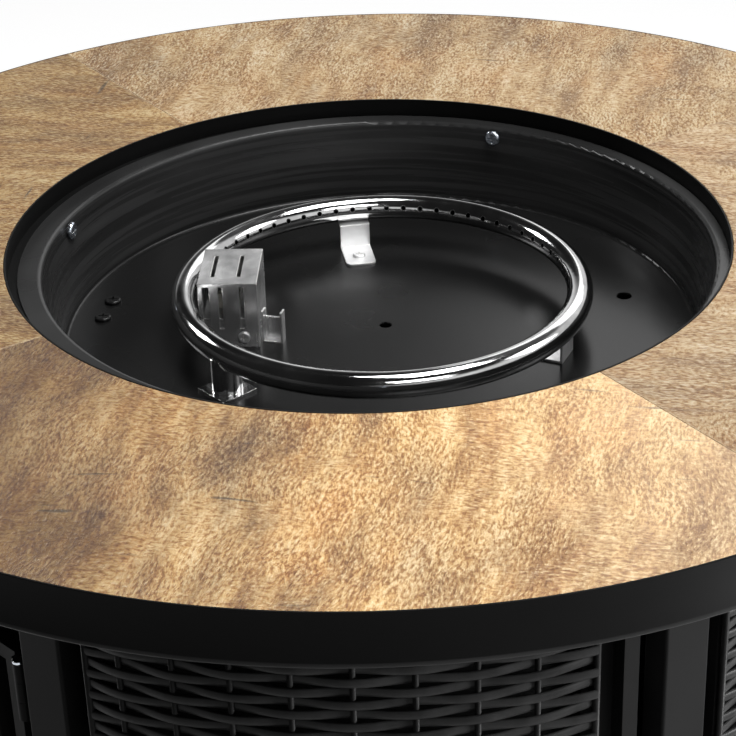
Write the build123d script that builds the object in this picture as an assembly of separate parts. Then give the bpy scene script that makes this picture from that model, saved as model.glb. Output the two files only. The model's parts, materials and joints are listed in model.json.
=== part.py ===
from build123d import *
from build123d.topology import SkipClean
import math
import os

os.makedirs("parts", exist_ok=True)

# Round gas fire pit table. The origin is on the floor under the table's centre,
# +Z is up and the side that faces a person at the front is -Y.
# Angles are in degrees from +X, anticlockwise seen from above.

# Table top
table_height = 622.0
table_radius = 406.4
rim_sheet = 1.2
rim_height = 31.8
rim_return = 12.0
tile_thick = 8.0
tile_seam = 0.8
seam_angle = 33.5
deck_sheet = 1.5
edge_gap = 0.3
recess_radius = 224.4
recess_depth = 12.2
band_sheet = 1.0

# Fire bowl
bowl_sheet = 1.2
flange_shift = 2.8
flange_clear = 0.5
bowl_shift = 6.0
mouth_radius = 208.7
wall_draft = 9.9
bowl_depth = 53.0
mouth_bend = 3.0
floor_bend = 2.5
ledge_clear = 1.5
drain_radius = 4.0
drain_x, drain_y = 9.6, -1.4
side_hole_radius = 5.0
side_hole_x, side_hole_y = 164.4, 28.4
bowl_screw_angles = (66.0, 164.0, 270.0)
bowl_screw_drop = 18.0
bowl_screw_shank = 2.5
bowl_screw_head = 5.6
bowl_screw_length = 8.0
clip_width = 22.0
clip_height = 20.0
clip_sheet = 2.0
clip_reach = 12.0
floor_bolt_angles = (173.7, 166.0)
floor_bolt_inset = 20.0
floor_bolt_shank = 2.5
floor_bolt_head = 5.5
floor_nut_flats = 8.0
floor_nut_thick = 4.0
floor_bolt_spare = 2.0

# Burner
burner_shift = 7.5
ring_radius = 124.7
tube_radius = 8.2
tube_wall = 1.0
ring_drop = 38.9
port_radius = 1.3
quarter_ports = 16
port_lift = 18.0
bracket_angles = {"back": 98.0, "right": 335.5}
bracket_outset = {"back": 0.0, "right": 7.5}
bracket_width = 20.0
bracket_foot = 30.0
bracket_top = 12.0
bracket_sheet = 1.5
bracket_corner = 4.0
bracket_screw_inset = 18.0
bracket_screw_shank = 2.0
bracket_screw_head = 4.2
bracket_screw_length = 8.0

# Gas feed below the bowl
feed_angle = 220.5
nipple_radius = 9.4
nipple_bore = 6.0
nipple_plate = 25.0
nipple_plate_thick = 2.0
nipple_length = 18.0
nut_flats = 27.0
nut_thick = 7.0
elbow_radius = 12.0
elbow_reach = 20.0
feed_drop = 88.0
mixer_radius = 11.0
mixer_length = 45.0
mixer_wall = 2.5
window_length = 18.0
window_height = 9.0
window_depth = 4.0
spigot_radius = 8.0
spigot_length = 8.0
orifice_flats = 14.0
orifice_length = 12.0
orifice_spigot = 4.5
jet_radius = 0.6
outlet_length = 10.0
outlet_radius = 7.0
pipe_radius = 4.0
pipe_wall = 0.8
pipe_bend = 28.0
pipe_nut_flats = 17.0
pipe_nut_length = 14.0

# Igniter box over the electrode
hood_x = -94.0
hood_y = 0.3
hood_turn = -3.0
hood_width = 36.8
hood_length = 50.0
hood_drop = 20.0
hood_sheet = 1.0
hood_slot = 2.4
top_slot_sides = (-9.8, 6.4)
top_slot_length = 30.0
front_slots = ((-13.5, 4.2), (-4.5, 2.6), (8.5, 2.6))
front_slot_low = 13.0
front_slot_high = 41.5
side_gap_length = 24.0
side_gap_height = 26.0
side_gap_shift = 4.0
hood_foot = 12.0
hood_foot_width = 16.0
hood_screw_side = 9.0
hood_screw_lift = 7.0
hood_screw_length = 5.0
foot_screw_length = 6.0
shelf_drop = 46.0
shelf_sheet = 1.5
shelf_reach = 26.0
shelf_clear = 1.0
electrode_side, electrode_ahead = -4.5, -6.0
electrode_radius = 3.5
electrode_length = 40.0
electrode_below = 10.0
electrode_core = 1.0
spark_below = 4.0
spark_above = 6.0
spark_reach = 7.0
spark_bend = 2.5
probe_side, probe_ahead = 8.0, -6.0
probe_radius = 2.5
probe_length = 44.0
probe_below = 14.0
probe_tip_radius = 1.75
probe_tip_length = 8.0
probe_collar = 4.0
probe_collar_lip = 1.5
clip_channel_width = 13.5
clip_channel_depth = 6.0
clip_channel_web = 16.0
clip_channel_ears = 21.5
clip_channel_sheet = 1.2
clip_channel_turn = -14.0
clip_channel_gap = 1.6
clip_channel_y = -17.0

# Base frame
base_radius = 305.0
post_count = 5
first_post = 303.5
ring_lip = 3.0
ring_bolt_circle = 276.0
bolt_shank = 3.0
bolt_head_flats = 10.0
bolt_head_height = 4.0
post_width = 32.0
post_depth = 18.0
post_wall = 1.5
post_corner = 2.0
post_set_back = 0.5
ring_plate = 4.0
ring_inner = 262.0
foot_height = 14.0
foot_radius = 12.0
foot_stem = 4.0
foot_stem_spare = 6.0
foot_chamfer = 1.5
base_sheet = 1.2
base_plate_radius = 272.0
vent_count = 12
vent_circle = 185.0
vent_radius = 9.0
collar_inner = 104.0
collar_wall = 4.0
collar_height = 6.0

# Side panels, with angles measured from the middle of each bay
panel_half = 30.45
stile_angle = 1.9
slot_angle = 3.2
panel_set_back = 6.0
panel_sheet = 1.2
panel_depth = 12.0
rail_height = 10.0
wicker_thick = 4.0
wicker_gap = 0.1
wicker_edge = 0.15
wicker_lap = 0.4
wicker_inset = 1.0

# Door bay
door_bay = 3
door_top_drop = 154.0
door_clear = 3.0
control_bottom_drop = 136.0
hinge_radius = 3.5
hinge_pin = 2.0
hinge_height = 40.0
hinge_set_back = 3.0
hinge_drop = 176.0
hinge_sheet = 2.0
hinge_leaf = 11.0
pin_head = 1.5
handle_drop = 270.0
handle_length = 90.0
handle_reach = 24.0
handle_radius = 4.0
handle_leg = 3.5
catch_drop = 300.0
catch_width = 22.0
catch_height = 40.0
catch_depth = 12.0
catch_plate = 2.0
catch_gap = 0.3

# Controls
control_sheet = 1.5
stem_hole = 6.0
panel_screw_spread = 11.0
panel_screw_length = 12.0
valve_offset = 6.5
valve_width = 30.0
valve_depth = 24.0
valve_height = 36.0
valve_set_back = 17.0
valve_boss = 9.0
valve_clear = 0.6
stem_radius = 3.0
stem_flat = 2.2
stem_seat = 10.0
stem_shoulder = 4.5
stem_reach = 14.0
knob_radius = 22.0
knob_grip = 17.0
knob_lift = 7.0
knob_travel = 3.0
knob_height = 22.0
knob_skirt = 6.0
knob_spare = 1.0
groove_count = 16
groove_radius = 1.6
groove_circle = 17.6
mark_width = 1.6
mark_length = 7.0
mark_deep = 0.6
inlet_radius = 7.94
inlet_bore = 4.0
inlet_length = 16.0
inlet_flats = 19.0
inlet_hex = 4.0
igniter_radius = 11.0
igniter_flange = 14.5
igniter_flange_thick = 4.0
igniter_nut_thick = 4.5
igniter_length = 50.0
button_radius = 8.0
button_travel = 4.0
button_depth = 12.0
button_proud = 1.0
button_spare = 0.5
screw_radius = 2.0
screw_head = 3.8

# Fits
run_fit = 0.05
hole_fit = 0.2
seat_gap = 0.15
curve_gap = 0.55
cut_over = 1.0

# Levels worked out from the driving sizes
tile_base = table_height - tile_thick
deck_base = tile_base - deck_sheet
ledge_top = table_height - recess_depth
flange_top = ledge_top + bowl_sheet
floor_radius = mouth_radius - wall_draft
floor_top = flange_top - bowl_depth
floor_under = floor_top - bowl_sheet
ring_z = table_height - ring_drop
feed_z = table_height - feed_drop
bottom_ring_z = foot_height
bottom_ring_top = bottom_ring_z + ring_plate
top_ring_top = deck_base
top_ring_z = top_ring_top - ring_plate
plate_top = bottom_ring_top + base_sheet
bay_step = 360.0 / post_count
band_outer = recess_radius - hole_fit
band_inner = band_outer - band_sheet
flange_radius = band_inner - flange_shift - flange_clear
ledge_hole = mouth_radius + bowl_sheet + ledge_clear
door_top = table_height - door_top_drop
panel_front = base_radius - panel_set_back
panel_back = panel_front - panel_depth
hinge_line = base_radius - hinge_set_back
valve_front = panel_front - valve_set_back
knob_base = panel_front + knob_lift
control_bottom = table_height - control_bottom_drop


def post_angle(index):
    """Middle of post number index."""
    return first_post - bay_step * index


def bay_angle(index):
    """Middle of the bay that lies clockwise of post number index."""
    return post_angle(index) - bay_step / 2


door_middle = bay_angle(door_bay - 2)
valve_angle = door_middle + valve_offset
igniter_angle = door_middle - valve_offset


def polar(radius, angle, z=0.0, shift=0.0):
    """Point at a radius and an angle about a vertical line at x = shift."""
    turn = math.radians(angle)
    return Vector(shift + radius * math.cos(turn), radius * math.sin(turn), z)


def facing(radius, angle, z, shift=0.0):
    """Local frame: X along the circle, Y up, Z straight out from the centre."""
    turn = math.radians(angle)
    out = Vector(math.cos(turn), math.sin(turn), 0)
    along = Vector(-math.sin(turn), math.cos(turn), 0)
    return Location(Plane(origin=polar(radius, angle, z, shift), x_dir=along, z_dir=out))


def turned(points, shift=0.0):
    """Solid of revolution of a closed outline of (radius, height) points."""
    outline = make_face(Polyline(*points, close=True))
    return Pos(shift, 0, 0) * revolve(Plane.XZ * outline, Axis.Z)


def ring(inner, outer, z0, z1):
    """Flat ring between two radii."""
    return turned([(inner, z0), (outer, z0), (outer, z1), (inner, z1)])


def rod(radius, length):
    """Cylinder that starts at the origin and runs along +Z."""
    return Cylinder(radius, length, align=(Align.CENTER, Align.CENTER, Align.MIN))


def slab(width, height, depth):
    """Block centred in X and Y that starts at the origin and runs along +Z."""
    return Box(width, height, depth, align=(Align.CENTER, Align.CENTER, Align.MIN))


def hexagon(flats, length):
    """Hexagonal prism along +Z."""
    return extrude(RegularPolygon(flats / 2, 6, major_radius=False), length)


def sector(inner, outer, a0, a1, z0, z1):
    """Part of a flat ring between two angles."""
    sweep = a1 - a0
    edges = [
        CenterArc((0, 0), outer, a0, sweep),
        Line(polar(outer, a1), polar(inner, a1)),
        CenterArc((0, 0), inner, a0, sweep),
        Line(polar(inner, a0), polar(outer, a0)),
    ]
    return Pos(0, 0, z0) * extrude(Face(Wire(edges)), z1 - z0, dir=(0, 0, 1))


def save(name, shape):
    """Write one named node."""
    if isinstance(shape, (list, tuple)):
        shape = Compound(children=list(shape))
    export_step(shape, f"parts/{name}.step")


def pan_head_screw(shank, head, length):
    """Screw along -Z from the head's seat at the origin, with a cross recess."""
    height = head * 0.45
    deep = height * 0.5
    across = head * 1.1
    body = Pos(0, 0, -length) * rod(shank, length)
    dome = fillet(rod(head, height).edges().sort_by(Axis.Z)[-1], height * 0.6)
    cross = slab(across, head * 0.18, height) + slab(head * 0.18, across, height)
    return body + (dome - Pos(0, 0, height - deep) * cross)


# Table top

def rim_band():
    """Steel edge band with a return along its lower edge."""
    low = table_height - rim_height
    inner = table_radius - rim_sheet
    return turned([
        (table_radius - rim_return, low), (table_radius, low), (table_radius, table_height),
        (inner, table_height), (inner, low + rim_sheet), (table_radius - rim_return, low + rim_sheet),
    ])


def top_deck():
    """Pressed steel deck: ledge for the bowl, bed for the tiles and a skirt down to the rim."""
    outer = table_radius - rim_sheet - edge_gap
    skirt_low = table_height - rim_height + rim_sheet
    step = recess_radius + deck_sheet
    ledge_under = ledge_top - deck_sheet
    start = ledge_hole - bowl_shift - deck_sheet
    pan = turned([
        (start, ledge_under), (step, ledge_under), (step, deck_base),
        (outer - deck_sheet, deck_base), (outer - deck_sheet, skirt_low), (outer, skirt_low),
        (outer, tile_base), (recess_radius, tile_base), (recess_radius, ledge_top), (start, ledge_top),
    ])
    pan -= Pos(bowl_shift, 0, ledge_under - cut_over) * rod(ledge_hole, recess_depth)
    hole = rod(bolt_shank + hole_fit, deck_sheet + 2 * cut_over)
    for angle in ring_bolt_angles():
        pan -= Pos(*polar(ring_bolt_circle, angle, deck_base - cut_over)) * hole
    return pan


def tile(middle):
    """One quarter of the top, with half a seam left free on each side."""
    outer = table_radius - rim_sheet - edge_gap
    quarter = sector(recess_radius, outer, middle - 45, middle + 45, tile_base, table_height)
    for side in (-45, 45):
        cut = Box(2 * table_radius, tile_seam, 3 * tile_thick)
        quarter -= Pos(0, 0, tile_base) * Rot(0, 0, middle + side) * cut
    return quarter


def trim_band():
    """Thin upright band that hides the cut edges of the tiles."""
    return ring(band_inner, band_outer, ledge_top, table_height)


# Fire bowl

def bowl_wall_radius(z):
    """Inner radius of the sloped wall at a height."""
    share = (flange_top - z) / bowl_depth
    return mouth_radius + share * (floor_radius - mouth_radius)


def bowl_shell():
    """Pressed bowl with the inner part of its flange."""
    slope = math.atan((mouth_radius - floor_radius) / bowl_depth)
    out = bowl_sheet * (1 - math.sin(slope)) / math.cos(slope)
    lip = mouth_radius + 2 * mouth_bend
    inner = FilletPolyline(
        (lip, flange_top), (mouth_radius, flange_top), (floor_radius, floor_top), (0, floor_top),
        radius=[mouth_bend, floor_bend],
    )
    outer = FilletPolyline(
        (lip, flange_top - bowl_sheet), (mouth_radius + out, flange_top - bowl_sheet),
        (floor_radius + out, floor_under), (0, floor_under),
        radius=[mouth_bend - bowl_sheet, floor_bend + bowl_sheet],
    )
    ends = [Line(inner @ 0, outer @ 0), Line(inner @ 1, outer @ 1)]
    outline = make_face([inner, outer, *ends])
    return Pos(bowl_shift, 0, 0) * revolve(Plane.XZ * outline, Axis.Z)


def fire_bowl():
    """Bowl, its off-centre flange and the holes in its floor and wall."""
    flange = Pos(flange_shift, 0, ledge_top) * rod(flange_radius, bowl_sheet)
    through = bowl_sheet + 2 * cut_over
    flange -= Pos(bowl_shift, 0, ledge_top - cut_over) * rod(mouth_radius + 2 * mouth_bend, through)
    bowl = bowl_shell() + flange
    deep = floor_under - cut_over
    bowl -= Pos(drain_x, drain_y, deep) * rod(drain_radius, through)
    bowl -= Pos(side_hole_x, side_hole_y, deep) * rod(side_hole_radius, through)
    bowl -= Pos(*feed_point(deep)) * rod(nipple_radius + hole_fit, through)
    bolt_hole = rod(floor_bolt_shank + hole_fit, through)
    for angle in floor_bolt_angles:
        bowl -= Pos(*floor_bolt_point(angle, deep)) * bolt_hole
    for x, y, radius in pilot_holes():
        bowl -= Pos(x, y, deep) * rod(radius + hole_fit, through)
    foot_hole = rod(bracket_screw_shank + hole_fit, through)
    for name in bracket_angles:
        bowl -= Pos(*bracket_screw_point(name, deep)) * foot_hole
    bowl -= Pos(*hood_foot_point(deep)) * foot_hole
    z = table_height - bowl_screw_drop
    start = bowl_wall_radius(z) - bowl_screw_head
    wall_hole = rod(bowl_screw_shank + hole_fit, 2 * bowl_screw_head)
    for angle in bowl_screw_angles:
        bowl -= facing(start, angle, z, bowl_shift) * wall_hole
    return bowl


def bowl_clips():
    """Angle clips outside the bowl wall that hold it down against the deck's ledge."""
    z = table_height - bowl_screw_drop
    top = ledge_top - deck_sheet
    wall = mouth_radius + bowl_sheet + seat_gap
    leg_z = top - clip_height / 2
    foot_z = top - clip_sheet / 2
    screw_bore = rod(bowl_screw_shank + run_fit, clip_reach)
    clips = []
    for angle in bowl_screw_angles:
        leg = facing(wall, angle, leg_z, bowl_shift) * slab(clip_width, clip_height, clip_sheet)
        foot = facing(wall, angle, foot_z, bowl_shift) * slab(clip_width, clip_sheet, clip_reach)
        clips.append(leg + foot - facing(wall - cut_over, angle, z, bowl_shift) * screw_bore)
    return clips


def bowl_screws():
    """Zinc pan-head screws through the bowl wall into the clips."""
    z = table_height - bowl_screw_drop
    slope = math.degrees(math.atan((mouth_radius - floor_radius) / bowl_depth))
    screws = []
    for angle in bowl_screw_angles:
        seat = bowl_wall_radius(z) - bowl_screw_head * math.sin(math.radians(slope)) - seat_gap
        screw = pan_head_screw(bowl_screw_shank, bowl_screw_head, bowl_screw_length)
        screws.append(facing(seat, angle, z, bowl_shift) * Rot(180, 0, 0) * screw)
    return screws


def floor_bolt_point(angle, z):
    """Middle of a bolt near the edge of the bowl's floor."""
    return polar(floor_radius - floor_bolt_inset, angle, z, bowl_shift)


def floor_bolts():
    """Black bolts near the edge of the bowl's floor, each with its nut below."""
    length = bowl_sheet + floor_nut_thick + floor_bolt_spare
    bolt = pan_head_screw(floor_bolt_shank, floor_bolt_head, length)
    bore = rod(floor_bolt_shank + run_fit, floor_nut_thick)
    nut = hexagon(floor_nut_flats, floor_nut_thick) - bore
    solids = []
    for angle in floor_bolt_angles:
        solids.append(Pos(*floor_bolt_point(angle, floor_top)) * bolt)
        solids.append(Pos(*floor_bolt_point(angle, floor_under - floor_nut_thick)) * nut)
    return solids


# Burner

def feed_point(z):
    """Middle of the gas feed, under the burner's centreline."""
    return polar(ring_radius, feed_angle, z, burner_shift)


def burner_ring():
    """Ring tube of four quarters, with ports on its inner side and the feed hole below."""
    section = Circle(tube_radius) - Circle(tube_radius - tube_wall)
    quarter = revolve(Plane.XZ * Pos(ring_radius, 0) * section, Axis.Z, 90)
    port = Rot(180 + port_lift, 0, 0) * rod(port_radius, tube_radius + cut_over)
    step = 90.0 / quarter_ports
    quarter -= [facing(ring_radius, step * (index + 0.5), 0) * port for index in range(quarter_ports)]
    feed = Pos(*polar(ring_radius, feed_angle, -2 * tube_radius)) * rod(nipple_bore, 2 * tube_radius)
    tube = None
    with SkipClean():
        for turn in (0, 90, 180, 270):
            piece = Rot(0, 0, turn) * quarter - feed
            tube = tube + piece if tube else piece
    return Pos(burner_shift, 0, ring_z) * tube


def bracket_leg_radius(name):
    """Outer face of the bracket's upright leg."""
    return ring_radius - tube_radius + bracket_outset[name]


def bracket_screw_point(name, z):
    """Middle of the screw in a bracket's foot."""
    reach = bracket_leg_radius(name) - bracket_screw_inset
    return polar(reach, bracket_angles[name], z, burner_shift)


def burner_bracket(name):
    """Z bracket from the bowl's floor up to the underside of the ring."""
    angle = bracket_angles[name]
    leg = bracket_leg_radius(name)
    under = ring_z - tube_radius
    height = under - floor_top
    middle = floor_top + height / 2
    back = facing(leg - bracket_sheet, angle, middle, burner_shift)
    upright = back * slab(bracket_width, height, bracket_sheet)
    foot_z = floor_top + bracket_sheet / 2
    foot = facing(leg - bracket_foot, angle, foot_z, burner_shift)
    foot *= slab(bracket_width, bracket_sheet, bracket_foot)
    corners = foot.edges().filter_by(Axis.Z).sort_by_distance(polar(0, angle, foot_z, burner_shift))
    foot = fillet(corners[:2], bracket_corner)
    pad_z = under - bracket_sheet / 2
    pad = facing(leg - bracket_sheet, angle, pad_z, burner_shift)
    pad *= slab(bracket_width, bracket_sheet, bracket_top - bracket_outset[name])
    hole = rod(bracket_screw_shank + hole_fit, bracket_sheet + 2 * cut_over)
    return upright + foot + pad - Pos(*bracket_screw_point(name, floor_top - cut_over)) * hole


def bracket_screws():
    """Cross-head screws through the bracket feet into the bowl's floor."""
    screw = pan_head_screw(bracket_screw_shank, bracket_screw_head, bracket_screw_length)
    seat = floor_top + bracket_sheet
    spots = [bracket_screw_point(name, seat) for name in bracket_angles]
    return [Pos(*spot) * screw for spot in spots]


# Gas feed

def feed_nipple():
    """Feed stub with its square plate; its top is hollowed to the ring's tube."""
    top = ring_z
    bottom = floor_under - nipple_length
    stub = Pos(*feed_point(bottom)) * rod(nipple_radius, top - bottom)
    plate = slab(nipple_plate, nipple_plate, nipple_plate_thick)
    nipple = stub + Pos(*feed_point(floor_top)) * Rot(0, 0, feed_angle) * plate
    nipple -= Pos(burner_shift, 0, ring_z) * Torus(ring_radius, tube_radius + seat_gap)
    start = feed_point(bottom - cut_over)
    nipple -= Pos(*start) * rod(nipple_bore, top - bottom + 2 * cut_over)
    keep = Pos(*start) * rod(nipple_plate, ring_z - bottom)
    return nipple & keep


def mixer_start():
    """Where the air mixer leaves the elbow, on a line along -X."""
    return feed_point(feed_z) + Vector(-elbow_reach, 0, 0)


def feed_elbow():
    """Elbow from the feed stub to the level air mixer."""
    low = feed_z - elbow_radius
    top = floor_under - nut_thick
    upright = Pos(*feed_point(low)) * rod(elbow_radius, top - low)
    side = Pos(*feed_point(feed_z)) * Rot(0, -90, 0) * rod(elbow_radius, elbow_reach)
    body = upright + side
    stub_low = floor_under - nipple_length
    body -= Pos(*feed_point(stub_low)) * rod(nipple_radius + run_fit, nipple_length)
    body -= Pos(*feed_point(feed_z)) * rod(nipple_bore, stub_low - feed_z)
    body -= Pos(*feed_point(feed_z)) * Rot(0, -90, 0) * rod(nipple_bore, elbow_reach)
    socket = Pos(*mixer_start()) * Rot(0, 90, 0) * rod(spigot_radius + run_fit, spigot_length)
    return body - socket


def air_mixer():
    """Level tube with two air slots, and a spigot into the elbow."""
    tube = Rot(0, -90, 0) * rod(mixer_radius, mixer_length)
    spigot = Rot(0, 90, 0) * rod(spigot_radius, spigot_length)
    body = tube + spigot
    body -= Pos(spigot_length, 0, 0) * Rot(0, -90, 0) * rod(nipple_bore, spigot_length)
    chamber = rod(mixer_radius - mixer_wall, mixer_length - 2 * mixer_wall)
    body -= Pos(-mixer_wall, 0, 0) * Rot(0, -90, 0) * chamber
    body -= Rot(0, -90, 0) * rod(nipple_bore, 2 * mixer_wall)
    jet_seat = Rot(0, -90, 0) * rod(orifice_spigot + run_fit, mixer_wall)
    body -= Pos(mixer_wall - mixer_length, 0, 0) * jet_seat
    for side in (-1, 1):
        window = Box(window_length, 2 * window_depth, window_height)
        body -= Pos(-mixer_length / 2, side * mixer_radius, 0) * window
    return Pos(*mixer_start()) * body


def gas_orifice():
    """Brass jet that closes the outer end of the air mixer."""
    jet = Rot(0, -90, 0) * hexagon(orifice_flats, orifice_length)
    jet += Rot(0, 90, 0) * rod(orifice_spigot, mixer_wall)
    jet -= Pos(mixer_wall, 0, 0) * Rot(0, -90, 0) * rod(jet_radius, mixer_wall + orifice_length)
    jet -= Pos(-orifice_length / 2, 0, 0) * Rot(0, -90, 0) * rod(pipe_radius + run_fit, orifice_length)
    return Pos(*(mixer_start() + Vector(-mixer_length, 0, 0))) * jet


def pipe_points():
    """Corners of the gas pipe: out of the jet, round to the valve's radial line."""
    jet_end = mixer_start() + Vector(-mixer_length - orifice_length / 2, 0, 0)
    corner_radius = jet_end.Y / math.sin(math.radians(valve_angle))
    corner = polar(corner_radius, valve_angle, feed_z)
    outlet = polar(valve_front - valve_depth - outlet_length / 2, valve_angle, feed_z)
    return [jet_end, corner, outlet]


def gas_pipe():
    """Bent tube from the jet to the valve's outlet."""
    start, corner, end = pipe_points()
    path = FilletPolyline(start, corner, end, radius=pipe_bend)
    plane = Plane(origin=start, z_dir=corner - start)
    tube = sweep(plane * Circle(pipe_radius), path=path)
    return tube - sweep(plane * Circle(pipe_radius - pipe_wall), path=path)


def gas_nuts():
    """Lock nut under the bowl and the two compression nuts on the pipe."""
    lock = hexagon(nut_flats, nut_thick) - rod(nipple_radius + run_fit, nut_thick)
    lock = Pos(*feed_point(floor_under - nut_thick)) * Rot(0, 0, 12) * lock
    start, corner, end = pipe_points()
    nut = hexagon(pipe_nut_flats, pipe_nut_length) - rod(pipe_radius + run_fit, pipe_nut_length)
    jet_face = start + Vector(-orifice_length / 2, 0, 0)
    first = Pos(*jet_face) * Rot(0, -90, 0) * nut
    valve_face = valve_front - valve_depth - outlet_length
    second = facing(valve_face - pipe_nut_length, valve_angle, feed_z) * nut
    return [lock, first, second]


# Igniter box in the bowl

def hood_place(side=0.0, ahead=0.0, z=None):
    """Frame of the igniter box: side along its front, ahead towards its back."""
    base = Pos(burner_shift + hood_x, hood_y, 0) * Rot(0, 0, hood_turn)
    return base * Pos(side, ahead, floor_top if z is None else z)


def hood_foot_point(z):
    """Screw that holds the box's rear foot."""
    return hood_place(0, (hood_length + hood_foot) / 2, z).position


def pilot_hood():
    """Folded box with slots in its top and front, open below."""
    height = table_height - hood_drop - floor_top
    shell = slab(hood_width, hood_length, height)
    inner_height = height - hood_sheet + cut_over
    inside = slab(hood_width - 2 * hood_sheet, hood_length - 2 * hood_sheet, inner_height)
    shell -= Pos(0, 0, -cut_over) * inside
    top_slot = slab(hood_slot, top_slot_length, 3 * hood_sheet)
    for side in top_slot_sides:
        shell -= Pos(side, 0, height - 2 * hood_sheet) * top_slot
    for side, wide in front_slots:
        slot = slab(wide, 3 * hood_sheet, front_slot_high - front_slot_low)
        shell -= Pos(side, -hood_length / 2, front_slot_low) * slot
    side_gap = slab(3 * hood_sheet, side_gap_length, side_gap_height)
    shell -= Pos(-hood_width / 2, side_gap_shift, 0) * side_gap
    screw_hole = Rot(90, 0, 0) * rod(screw_radius + hole_fit, 3 * hood_sheet)
    shell -= Pos(hood_screw_side, 2 * hood_sheet - hood_length / 2, hood_screw_lift) * screw_hole
    foot = slab(hood_foot_width, hood_foot, hood_sheet)
    foot -= Pos(0, 0, -cut_over) * rod(bracket_screw_shank + hole_fit, hood_sheet + 2 * cut_over)
    shell += Pos(0, (hood_length + hood_foot) / 2, 0) * foot
    return hood_place() * shell


def electrode_place(z):
    """Line of the spark electrode."""
    return hood_place(electrode_side, electrode_ahead, z)


def probe_place(z):
    """Line of the thermocouple."""
    return hood_place(probe_side, probe_ahead, z)


def pilot_holes():
    """Holes in the bowl's floor for the electrode and the thermocouple."""
    spark = electrode_place(floor_top).position
    probe = probe_place(floor_top).position
    return (spark.X, spark.Y, electrode_radius), (probe.X, probe.Y, probe_radius)


def pilot_shelf():
    """Angle plate in the box that grips the electrode and the thermocouple."""
    level = table_height - shelf_drop - floor_top
    front = hood_sheet - hood_length / 2
    wide = hood_width - 2 * (hood_sheet + shelf_clear)
    plate = Pos(0, front + shelf_reach / 2, level) * slab(wide, shelf_reach, shelf_sheet)
    plate += Pos(0, front + shelf_sheet / 2, 0) * slab(wide, shelf_sheet, level + shelf_sheet)
    grips = (
        (electrode_side, electrode_ahead, electrode_radius),
        (probe_side, probe_ahead, probe_radius),
    )
    for side, ahead, radius in grips:
        plate -= Pos(side, ahead, level - cut_over) * rod(radius + run_fit, shelf_sheet + 2 * cut_over)
    hole = Rot(90, 0, 0) * rod(screw_radius + run_fit, 3 * shelf_sheet)
    plate -= Pos(hood_screw_side, front + 2 * shelf_sheet, hood_screw_lift) * hole
    return hood_place() * plate


def electrode_insulator():
    """Ceramic body of the spark electrode."""
    body = rod(electrode_radius, electrode_length) - rod(electrode_core + run_fit, electrode_length)
    return electrode_place(floor_under - electrode_below) * body


def electrode_rod():
    """Spark rod that bends over towards the thermocouple."""
    tall = spark_below + electrode_length + spark_above
    path = FilletPolyline((0, 0, 0), (0, 0, tall), (spark_reach, 0, tall + cut_over), radius=spark_bend)
    wire = sweep(Plane.XY * Circle(electrode_core), path=path)
    return electrode_place(floor_under - electrode_below - spark_below) * wire


def thermocouple():
    """Flame sensor: a rod with a stepped tip and a collar under the shelf."""
    low = floor_under - probe_below
    probe = rod(probe_radius, probe_length)
    probe += Pos(0, 0, probe_length) * rod(probe_tip_radius, probe_tip_length)
    collar_z = table_height - shelf_drop - probe_collar - low
    probe += Pos(0, 0, collar_z) * rod(probe_radius + probe_collar_lip, probe_collar)
    return probe_place(low) * probe


def pilot_bracket():
    """Small upright channel beside the box, whose ears stand above its web."""
    wall = clip_channel_sheet
    channel = slab(clip_channel_width, clip_channel_depth, clip_channel_ears)
    inside = slab(clip_channel_width - 2 * wall, clip_channel_depth, clip_channel_ears + cut_over)
    channel -= Pos(0, -wall, wall) * inside
    notch = slab(clip_channel_width - 2 * wall, 2 * clip_channel_depth, clip_channel_ears)
    channel -= Pos(0, 0, clip_channel_web) * notch
    side = (hood_width + clip_channel_width) / 2 + clip_channel_gap
    return hood_place(side, clip_channel_y) * Rot(0, 0, clip_channel_turn) * channel


def pilot_screws():
    """Screws in the front of the box and in its rear foot."""
    screw = Rot(90, 0, 0) * pan_head_screw(screw_radius, screw_head, hood_screw_length)
    front_screw = hood_place(hood_screw_side, -hood_length / 2) * Pos(0, 0, hood_screw_lift) * screw
    foot_screw = pan_head_screw(bracket_screw_shank, bracket_screw_head, foot_screw_length)
    return [front_screw, Pos(*hood_foot_point(floor_top + hood_sheet)) * foot_screw]


# Base

def ring_bolt_angles():
    """Bolts that hold the deck to the base, one in the middle of each bay."""
    return [bay_angle(index) for index in range(post_count)]


def top_ring():
    """Flat ring that closes the top of the base and carries the deck."""
    plate = ring(ring_inner, base_radius + ring_lip, top_ring_z, top_ring_top)
    hole = rod(bolt_shank + hole_fit, ring_plate + 2 * cut_over)
    for angle in ring_bolt_angles():
        plate -= Pos(*polar(ring_bolt_circle, angle, top_ring_z - cut_over)) * hole
    return plate


def bottom_ring():
    """Flat ring under the posts, with a hole for each foot."""
    plate = ring(ring_inner, base_radius + ring_lip, bottom_ring_z, bottom_ring_top)
    hole = rod(foot_stem + hole_fit, ring_plate + 2 * cut_over)
    for index in range(post_count):
        plate -= Pos(*polar(foot_circle(), post_angle(index), bottom_ring_z - cut_over)) * hole
    return plate


def foot_circle():
    """Radius of the circle of feet, under the middle of the posts."""
    return base_radius - post_set_back - post_depth / 2


def feet():
    """Plastic glides pressed in under the posts."""
    solids = []
    for index in range(post_count):
        pad = chamfer(rod(foot_radius, foot_height).edges().sort_by(Axis.Z)[0], foot_chamfer)
        pad += Pos(0, 0, foot_height) * rod(foot_stem, ring_plate + foot_stem_spare)
        solids.append(Pos(*polar(foot_circle(), post_angle(index), 0)) * pad)
    return solids


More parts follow.
